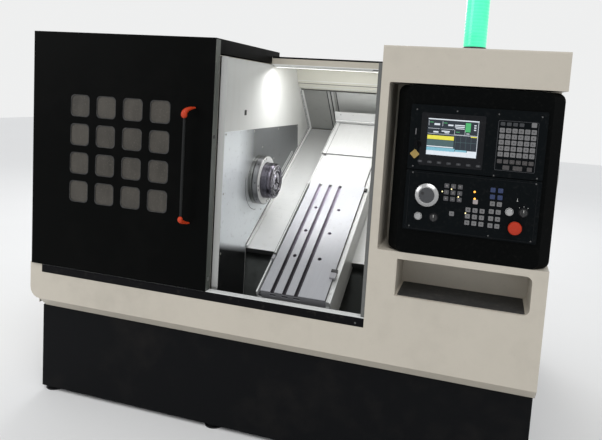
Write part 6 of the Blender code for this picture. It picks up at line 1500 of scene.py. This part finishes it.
class LATHE_OT_display(DressingOperator, bpy.types.Operator):
    """Builds the display unit: bezel, lit screen picture, soft keys and letter keys"""
    bl_idname = "lathe.display"
    bl_label = "Build the display unit"

    def make(self, sizes):
        left, right, bottom, top = SCREEN
        unit = Form()
        outer = soft_rect(1.616, 2.068, 1.172, 1.4, 0.006)
        hole = soft_rect(left, right, bottom, top, 0.002)
        unit.frame_prism(outer, hole, "Y", PANEL, -0.0003)
        unit.piece("display_unit", "frame", "grey_plastic", "film", 0.0012, replaces=("upper_unit",))
        back = Form().prism(
            rect(left - 0.004, right + 0.004, bottom - 0.004, top + 0.004), "Y", -0.0024, -0.0008,
        )
        back.piece("display_back", "frame", "grey_plastic", "bezel")
        bezel = Form().frame_prism(
            soft_rect(left - 0.022, right + 0.02, bottom - 0.036, top + 0.018, 0.005),
            soft_rect(left, right, bottom, top, 0.002), "Y", PANEL - 0.0014, PANEL + 0.0002,
        )
        bezel.piece("display_bezel", "frame", "grey_plastic", "bezel", 0.0008)
        border = Form().frame_prism(
            soft_rect(1.911, 2.04, 1.195, 1.364, 0.004),
            soft_rect(1.9125, 2.0385, 1.1965, 1.3625, 0.003), "Y",
            PANEL - 0.0006, PANEL + 0.0001,
        )
        border.piece("keypad_border", "frame", "grey_plastic", "key_dim")
        key_pieces(sizes, DISPLAY_KEYS)
        panel_screws("display_screws", (
            (1.6366, 1.3816), (1.7735, 1.3839), (1.9108, 1.3833), (2.048, 1.3831), (1.6364, 1.1824),
            (1.9112, 1.175), (2.0497, 1.1785),
        ))
        self.picture()

    def picture(self):
        """Lays the lit picture on the screen."""
        left, right, bottom, top = SCREEN
        face = low("screen").y - FRONT_PLANE
        for name, patches in PICTURE.items():
            form = Form()
            for x0, x1, z0, z1 in patches:
                form.prism(rect(
                    left + (right - left) * x0, left + (right - left) * x1,
                    bottom + (top - bottom) * z0, bottom + (top - bottom) * z1,
                ), "Y", face - 0.0003, face - 0.0002)
            form.piece("picture_" + name, "frame", "screen_glass", "screen_" + name)


class LATHE_OT_operator_unit(DressingOperator, bpy.types.Operator):
    """Builds the operator unit: film, key fields and indicators"""
    bl_idname = "lathe.operator_unit"
    bl_label = "Build the operator unit"

    def make(self, sizes):
        unit = Form().prism(soft_rect(1.616, 2.068, 0.955, 1.169, 0.006), "Y", PANEL, -0.0003)
        unit.piece("operator_unit", "frame", "grey_plastic", "film", 0.0012, replaces=("lower_unit",))
        border = Form().frame_prism(
            soft_rect(1.628, 2.056, 0.96, 1.162, 0.004), soft_rect(1.6292, 2.0548, 0.9612, 1.1608, 0.003),
            "Y",
            PANEL - 0.0005, PANEL + 0.0001,
        )
        border.piece("operator_border", "frame", "grey_plastic", "bezel")
        key_pieces(sizes, OPERATOR_KEYS)
        domes("indicators_amber", "amber", 0.0036, ((1.8541, 1.1128), (1.8562, 1.0889)))
        domes(
            "indicators_warm", "warm", 0.0022,
            ((1.7456, 1.1027), (1.7762, 1.1141), (1.8011, 1.0892), (1.8299, 1.0357)),
        )
        panel_screws("operator_screws", (
            (1.639, 1.16), (2.0497, 1.16), (1.6395, 0.9686), (1.9115, 0.9663), (2.0497, 0.9645),
        ))


DIAL = (1.6943, 0, 1.0856)
STOP = (1.9946, 0, 1.0067)
BUTTONS = (("left", 1.6691, 1.0074), ("right", 1.9728, 1.0575))
SELECTORS = (("left", 1.723, 1.008), ("right", 2.018, 1.059))


class LATHE_OT_knobs(DressingOperator, bpy.types.Operator):
    """Builds the handwheel, knobs, buttons, emergency stop and key"""
    bl_idname = "lathe.knobs"
    bl_label = "Build the knobs"

    def make(self, sizes):
        self.handwheel(sizes)
        for name, across, up in BUTTONS:
            self.button(name, across, up)
        for name, across, up in SELECTORS:
            self.selector(name, across, up)
        self.stop()
        self.key()
        marks = Form()
        for angle in (50, 90, 130):
            side = Vector((cos(radians(angle)), sin(radians(angle))))
            across = Vector((-side.y, side.x)) * 0.0006
            spots = [
                side * 0.019 - across, side * 0.0225 - across, side * 0.0225 + across,
                side * 0.019 + across,
            ]
            marks.prism(
                [(SELECTORS[1][1] + spot.x, SELECTORS[1][2] + spot.y) for spot in spots], "Y", PANEL - 0.0003,
                PANEL,
            )
        marks.prism(rect(1.993, 1.998, 1.0955, 1.0967), "Y", PANEL - 0.0003, PANEL)
        marks.prism(rect(1.9949, 1.9961, 1.0968, 1.1055), "Y", PANEL - 0.0003, PANEL)
        marks.piece("selector_ticks", "frame", "grey_plastic", "legend_light")

    def handwheel(self, sizes):
        wheel = Form()
        boss(
            wheel, DIAL,
            (
                (0.0004, 0.039), (0.003, 0.0414), (0.0085, 0.0414), (0.011, 0.0406), (0.017, 0.0318),
                (0.0177, 0.0296), (0.0173, 0.0276), (0.016, 0.0268), (0.016, 0),
            ),
            sizes.facets,
        )
        wheel.piece("handwheel_rim", "handwheel_body", "silver_knob", "silver", replaces=("handwheel",))
        face = Form()
        boss(face, DIAL, ((0.0159, 0.0266), (0.0164, 0.0262), (0.0167, 0.018), (0.0167, 0)), 64)
        face.piece("handwheel_face", "handwheel_body", "grey_plastic", "dial")
        finger = Form()
        boss(
            finger, (DIAL[0] - 0.015, 0, DIAL[2] + 0.006),
            ((0.0166, 0.0056), (0.0174, 0.0054), (0.0174, 0.0046), (0.0168, 0.0042), (0.0168, 0)), 32,
        )
        finger.piece("handwheel_dimple", "handwheel_body", "grey_plastic", "knob")

    def button(self, name, across, up):
        cap = Form()
        boss(
            cap, (across, 0, up),
            ((0.0044, 0.0108), (0.0092, 0.0108), (0.01, 0.01), (0.0094, 0.006), (0.0092, 0)),
        )
        cap.piece(
            "push_button_" + name, "button_" + name + "_body", "silver_knob", "silver",
            replaces=("button_" + name,),
        )
        ring = Form()
        boss(
            ring, (across, 0, up),
            ((0, 0.0142), (0.0028, 0.0142), (0.0038, 0.0134), (0.0038, 0.0116), (0, 0.0116)), 40, True,
        )
        ring.piece("push_button_ring_" + name, "frame", "silver_knob", "silver")

    def selector(self, name, across, up):
        body = "selector_" + name + "_body"
        knob = Form()
        boss(knob, (across, 0, up), ((0.001, 0.0128), (0.0062, 0.0128), (0.008, 0.0112), (0.008, 0)))
        grip = soft_pad(across, up, 0.0036, 0.0122, 0.0026, 3)
        knob.prism(grip, "Y", PANEL - 0.0148, PANEL - 0.0079)
        knob.piece(
            "selector_knob_" + name, body, "grey_plastic", "knob", 0.0006, replaces=("selector_" + name,),
        )
        mark = Form().prism(
            rect(across - 0.0008, across + 0.0008, up + 0.002, up + 0.0112), "Y", PANEL - 0.0151,
            PANEL - 0.0148,
        )
        mark.piece("selector_mark_" + name, body, "grey_plastic", "legend_light")
        ring = Form()
        boss(
            ring, (across, 0, up),
            ((0, 0.016), (0.0012, 0.016), (0.0018, 0.015), (0.0018, 0.0132), (0, 0.0132)), 40, True,
        )
        ring.piece("selector_ring_" + name, "frame", "grey_plastic", "bezel")

    def stop(self):
        head = Form()
        boss(
            head, STOP,
            (
                (0.0052, 0.0118), (0.015, 0.0118), (0.016, 0.0205), (0.018, 0.0224), (0.024, 0.0226),
                (0.0275, 0.0205), (0.0294, 0.015), (0.03, 0.007), (0.03, 0),
            ),
            64,
        )
        head.piece("stop_head", "stop_body", "red_plastic", "red", replaces=("emergency_stop",))
        collar = Form()
        boss(
            collar, STOP, ((0, 0.02), (0.003, 0.02), (0.0044, 0.0185), (0.0044, 0.0124), (0, 0.0124)),
            48, True,
        )
        collar.piece("stop_collar", "frame", "grey_plastic", "knob")

    def key(self):
        lock = Form()
        boss(
            lock, (1.648, 0, 1.262),
            ((0.0003, 0.0125), (0.003, 0.0125), (0.004, 0.0112), (0.004, 0.0104), (0.0003, 0.0104)), 40,
            True,
        )
        lock.piece("key_lock_ring", "frame", "stainless", "dark_steel")
        across, up = 1.64, 1.226
        outline = []
        for x, z, start in ((0, -1, -pi * 0.75), (1, 0, -pi / 4), (0, 1, pi / 4), (-1, 0, pi * 0.75)):
            outline += arc((across + x * 0.013, up + z * 0.013), 0.003, start, start + pi / 2, 4)
        fob = Form()
        fob.prism(outline, "Y", PANEL - 0.0046, PANEL - 0.0026)
        boss(
            fob, (across, 0, up + 0.007),
            ((0.005, 0.0028), (0.005, 0.004), (0.0046, 0.0042), (0.0046, 0.0026)), 20, True,
        )
        fob.piece("key_fob", "key_body", "stainless", "fob", 0.0004)


# Housing, column and cabinet

class LATHE_OT_housing(DressingOperator, bpy.types.Operator):
    """Adds the side pull, the slot and the tray's edge of the control housing"""
    bl_idname = "lathe.housing"
    bl_label = "Dress the control housing"

    def make(self, sizes):
        pull = Form()
        route = [(2.115, 0.045, 1.128)]
        for step in range(9):
            route.append((2.115 + 0.004 * sin(pi * step / 8), 0.045, 1.13 + 0.123 * step / 8))
        pull.sweep(route, [0.0034] * len(route), 16)
        pull.piece("housing_pull", "frame", "stainless", "zinc")
        mark = Form().prism(soft_rect(1.6366, 1.6394, 1.294, 1.316, 0.0013, 2), "Y", -0.0088, -0.0078)
        mark.piece("panel_slot_cover", "frame", "grey_plastic", "key_grey")
        lip = Form().prism(rect(1.6045, 1.6066, 0.703, 0.84), "Y", -0.001, 0.004)
        lip.prism(rect(1.6066, 2.046, 0.7009, 0.703), "Y", -0.001, 0.004)
        lip.piece("tray_edge", "frame", "cream_paint", "cream", 0.0005)
        mat = Form().prism(soft_rect(1.614, 2.062, 0.01, 0.182, 0.008, 3), "Z", 0.7032, 0.7052)
        mat.piece("tray_mat", "frame", "rubber", "rubber", 0.0006)


LOUVRE_COLUMN = 0.24
LOUVRE_PITCH = 0.024
LOUVRE_LENGTH = 0.168


class LATHE_OT_cabinet(DressingOperator, bpy.types.Operator):
    """Adds the rail's screw, louvres, vent filters, hinges, cover screws and the back door's locks"""
    bl_idname = "lathe.cabinet"
    bl_label = "Dress the cabinet"

    def make(self, sizes):
        spots = ((1.469, 0.0, 0.575),)
        screw_row("door_rail_screw", "dark_steel", "dull_screw", spots, (0, -1, 0), sizes.screw * 0.8)
        self.louvres("rear_louvres", "X", 1.18, 0.196, (1.5002, 1.5088, 1.5076))
        self.louvres("side_louvres", "Y", 0.62, 0.616, (-0.0002, -0.007, -0.006))
        foam = Form().prism(rect(0.18, 0.62, 1.165, 1.375), "Y", 1.4925, 1.4965)
        foam.prism(rect(0.6, 1.04, 0.605, 0.815), "X", 0.0034, 0.0074)
        foam.piece("vent_filters", "frame", "rubber", "dust")
        hinges = Form()
        for up in (0.6, 0.985, 1.35):
            hinges.turn(
                [(up - 0.035, 0), (up - 0.035, 0.0058), (up + 0.035, 0.0058), (up + 0.035, 0)],
                (1.906, 1.513, 0), "Z", 24, False,
            )
        hinges.piece("back_door_hinges", "frame", "dark_steel", "black_screw")
        screws = Form()
        for up in (0.45, 0.8, 1.15, 1.5):
            for across in (0.03, 1.15, 2.09):
                screws.screw((across, 1.5, up), (0, 1, 0), sizes.screw, 0.4)
            for across, deep, way in ((0, 0.08, -1), (0, 1.44, -1), (2.12, 0.26, 1), (2.12, 1.44, 1)):
                screws.screw((across, deep, up), (way, 0, 0), sizes.screw, 0.4)
        for across in (0.1, 0.6, 1.1, 1.6, 2.02):
            screws.screw((across, 1.46, 1.577), (0, 0, 1), sizes.screw, 0.4)
        screws.piece("cover_panel_screws", "frame", "stainless", "zinc")
        locks = Form()
        for up in (0.64, 1.33):
            locks.turn([
                (1.5202, 0.011), (1.5236, 0.011), (1.5242, 0.01), (1.5242, 0.004), (1.5226, 0.004),
                (1.5226, 0),
            ], (1.345, 0, up), "Y", 32, False)
        locks.piece("back_door_locks", "back_door_body", "dark_steel", "black_screw")

    def louvres(self, name, axis, lowest, first, reaches):
        """Two columns of bent blades; reaches are a blade's root, lip and underside."""
        root, lip, under = reaches
        blades = Form()
        for column in range(2):
            start = first + column * LOUVRE_COLUMN
            for index in range(8):
                up = lowest + index * LOUVRE_PITCH
                blade = [(root, up + 0.013), (lip, up - 0.001), (under, up - 0.0018), (root, up + 0.0105)]
                blades.prism(blade, axis, start, start + LOUVRE_LENGTH)
        blades.piece(name, "frame", "cream_paint", "cream", 0.0006)


class LATHE_OT_base(DressingOperator, bpy.types.Operator):
    """Adds the levelling pads and the pump's cap"""
    bl_idname = "lathe.base"
    bl_label = "Dress the base"

    def make(self, sizes):
        pads = Form()
        for across in (0.076, 0.88, 2.074):
            for deep in (0.082, 1.44):
                pads.turn(
                    [(0.0002, 0), (0.0002, 0.04), (0.005, 0.04), (0.0072, 0.036), (0.0072, 0.0345)],
                    (across, deep, 0), "Z", 40, False,
                )
        pads.piece("levelling_pads", "frame", "dark_steel", "black_screw")
        cap = Form().turn([
            (0.3242, 0.046), (0.3242, 0.04), (0.325, 0.039), (0.325, 0),
        ], (1.584, 1.35, 0), "Z", 32, False)
        cap.piece("pump_cap", "tank_body", "tank_paint", "motor")


RIBS = 22


class LATHE_OT_tower(DressingOperator, bpy.types.Operator):
    """Builds the lit tower light with its foot, ribs and cap"""
    bl_idname = "lathe.tower"
    bl_label = "Build the tower light"

    def make(self, sizes):
        foot, top = low("tower_light").z, high("tower_light").z
        centre = (low("tower_light") + high("tower_light")) / 2
        spot = (centre.x - LEFT_SIDE, centre.y - FRONT_PLANE, 0)
        profile = [(foot + 0.012, 0), (foot + 0.012, 0.0385)]
        ribbed = top - foot - 0.03
        pitch = ribbed / RIBS
        for index in range(RIBS):
            start = foot + 0.014 + ribbed * index / RIBS
            profile += [(start, 0.0392), (start + pitch * 0.5, 0.0402), (start + pitch * 0.95, 0.0392)]
        profile += [
            (top - 0.014, 0.0385), (top - 0.008, 0.0365), (top - 0.003, 0.03), (top, 0.02), (top, 0),
        ]
        lens = Form().turn(profile, spot, "Z", 72, False)
        lens.piece("tower_lens", "frame", "green_lens", "lens", replaces=("tower_light",))
        ring = Form().turn(
            [
                (foot, 0.0405), (foot + 0.01, 0.0405), (foot + 0.012, 0.0395), (foot + 0.012, 0.03),
                (foot, 0.03),
            ],
            spot, "Z", 72,
        )
        ring.piece("tower_foot", "frame", "grey_plastic", "knob")


# Stage

LIGHT_TONE, LIGHT_STRENGTH = (0.95, 0.97, 1.0), 0.6
SEEN_TONE = (0.86, 0.865, 0.865)
LAMPS = (
    ("sun_lamp", "SUN", (2.9, -3.6, 6.2), (1.0, 0.4, 0.8), 1.15, {"angle": radians(40)}),
    ("fill_lamp", "AREA", (-3.2, -3.2, 3.0), (1.0, 0.4, 0.9), 60.0, {"shape": "SQUARE", "size": 3.0}),
    ("back_lamp", "AREA", (-0.5, 5.4, 3.8), (1.0, 1.0, 0.9), 90.0, {"shape": "SQUARE", "size": 3.0}),
    ("chamber_lamp", "AREA", (1.17, 0.66, 1.51), (1.13, 0.78, 1.0), 2.5,
     {"shape": "RECTANGLE", "size": 0.56, "size_y": 0.12}),
)


class LATHE_OT_stage(bpy.types.Operator):
    """Lays the pale floor and sets the lamps, world and camera"""
    bl_idname = "lathe.stage"
    bl_label = "Set the stage"

    def execute(self, context):
        scene = context.scene
        self.lay_floor(scene.lathe_colours)
        self.light_world(scene)
        self.hang_lamps()
        self.place_camera(scene, scene.lathe_view)
        scene.view_settings.view_transform = "Standard"
        return {"FINISHED"}

    def lay_floor(self, tones):
        FINISHES["floor"] = floor_finish("pale_floor", tuple(tones.floor))
        mesh = bmesh.new()
        bmesh.ops.create_grid(mesh, x_segments=8, y_segments=8, size=14.0)
        data = bpy.data.meshes.new("floor")
        mesh.to_mesh(data)
        mesh.free()
        data.materials.append(FINISHES["floor"])
        floor = bpy.data.objects.new("floor", data)
        bpy.context.scene.collection.objects.link(floor)

    def light_world(self, scene):
        world = bpy.data.worlds.new("studio")
        world.use_nodes = True
        scene.world = world
        tree = world.node_tree
        nodes, link = tree.nodes, tree.links.new
        lighting, seen = nodes["Background"], nodes.new("ShaderNodeBackground")
        for background, tone, strength in ((lighting, LIGHT_TONE, LIGHT_STRENGTH), (seen, SEEN_TONE, 1.0)):
            background.inputs["Color"].default_value = (*tone, 1)
            background.inputs["Strength"].default_value = strength
        path = nodes.new("ShaderNodeLightPath")
        share = path.outputs["Is Camera Ray"]
        for kind in ("Is Glossy Ray", "Is Transmission Ray"):
            added = nodes.new("ShaderNodeMath")
            added.use_clamp = True
            link(share, added.inputs[0])
            link(path.outputs[kind], added.inputs[1])
            share = added.outputs[0]
        mix = nodes.new("ShaderNodeMixShader")
        for index, output in enumerate((share, lighting.outputs[0], seen.outputs[0])):
            link(output, mix.inputs[index])
        link(mix.outputs[0], nodes["World Output"].inputs["Surface"])

    def hang_lamps(self):
        for name, kind, spot, aim, power, settings in LAMPS:
            data = bpy.data.lights.new(name, kind)
            data.energy = power
            for setting, value in settings.items():
                setattr(data, setting, value)
            lamp = bpy.data.objects.new(name, data)
            lamp.location = at(*spot)
            lamp.rotation_euler = (at(*aim) - at(*spot)).to_track_quat("-Z", "Y").to_euler()
            bpy.context.scene.collection.objects.link(lamp)

    def place_camera(self, scene, view):
        data = bpy.data.cameras.new("camera")
        data.lens = view.lens
        data.sensor_width = 36.0
        data.shift_x = view.shift_x
        data.shift_y = view.shift_y
        camera = bpy.data.objects.new("camera", data)
        turn = Matrix.Rotation(view.yaw, 3, "Z") @ Matrix.Rotation(pi / 2 - view.pitch, 3, "X")
        camera.matrix_world = Matrix.Translation(at(*view.eye)) @ (
            turn @ Matrix.Rotation(view.roll, 3, "Z")
        ).to_4x4()
        scene.collection.objects.link(camera)
        scene.camera = camera


OPERATORS = (
    LATHE_OT_finishes, LATHE_OT_door, LATHE_OT_handle, LATHE_OT_spindle, LATHE_OT_tool_plate, LATHE_OT_covers,
    LATHE_OT_chamber, LATHE_OT_lamp, LATHE_OT_display, LATHE_OT_operator_unit, LATHE_OT_knobs,
    LATHE_OT_housing,
    LATHE_OT_cabinet, LATHE_OT_base, LATHE_OT_tower, LATHE_OT_stage,
)


class LATHE_PT_panel(bpy.types.Panel):
    """Lists the steps and the settings"""
    bl_label = "Slant bed lathe"
    bl_space_type = "VIEW_3D"
    bl_region_type = "UI"
    bl_category = "Lathe"

    def draw(self, context):
        for group in (context.scene.lathe_colours, context.scene.lathe_sizes, context.scene.lathe_view):
            box = self.layout.box()
            for name in group.__annotations__:
                box.prop(group, name)
        for step in OPERATORS:
            self.layout.operator(step.bl_idname)


CLASSES = (LatheColours, LatheSizes, LatheView, *OPERATORS, LATHE_PT_panel)


def register():
    for made in CLASSES:
        bpy.utils.register_class(made)
    bpy.types.Scene.lathe_colours = PointerProperty(type=LatheColours)
    bpy.types.Scene.lathe_sizes = PointerProperty(type=LatheSizes)
    bpy.types.Scene.lathe_view = PointerProperty(type=LatheView)


def unregister():
    for made in reversed(CLASSES):
        bpy.utils.unregister_class(made)
    del bpy.types.Scene.lathe_colours, bpy.types.Scene.lathe_sizes, bpy.types.Scene.lathe_view


def main():
    register()
    for step in OPERATORS:
        group, name = step.bl_idname.split(".")
        getattr(getattr(bpy.ops, group), name)()


if __name__ == "__main__":
    main()
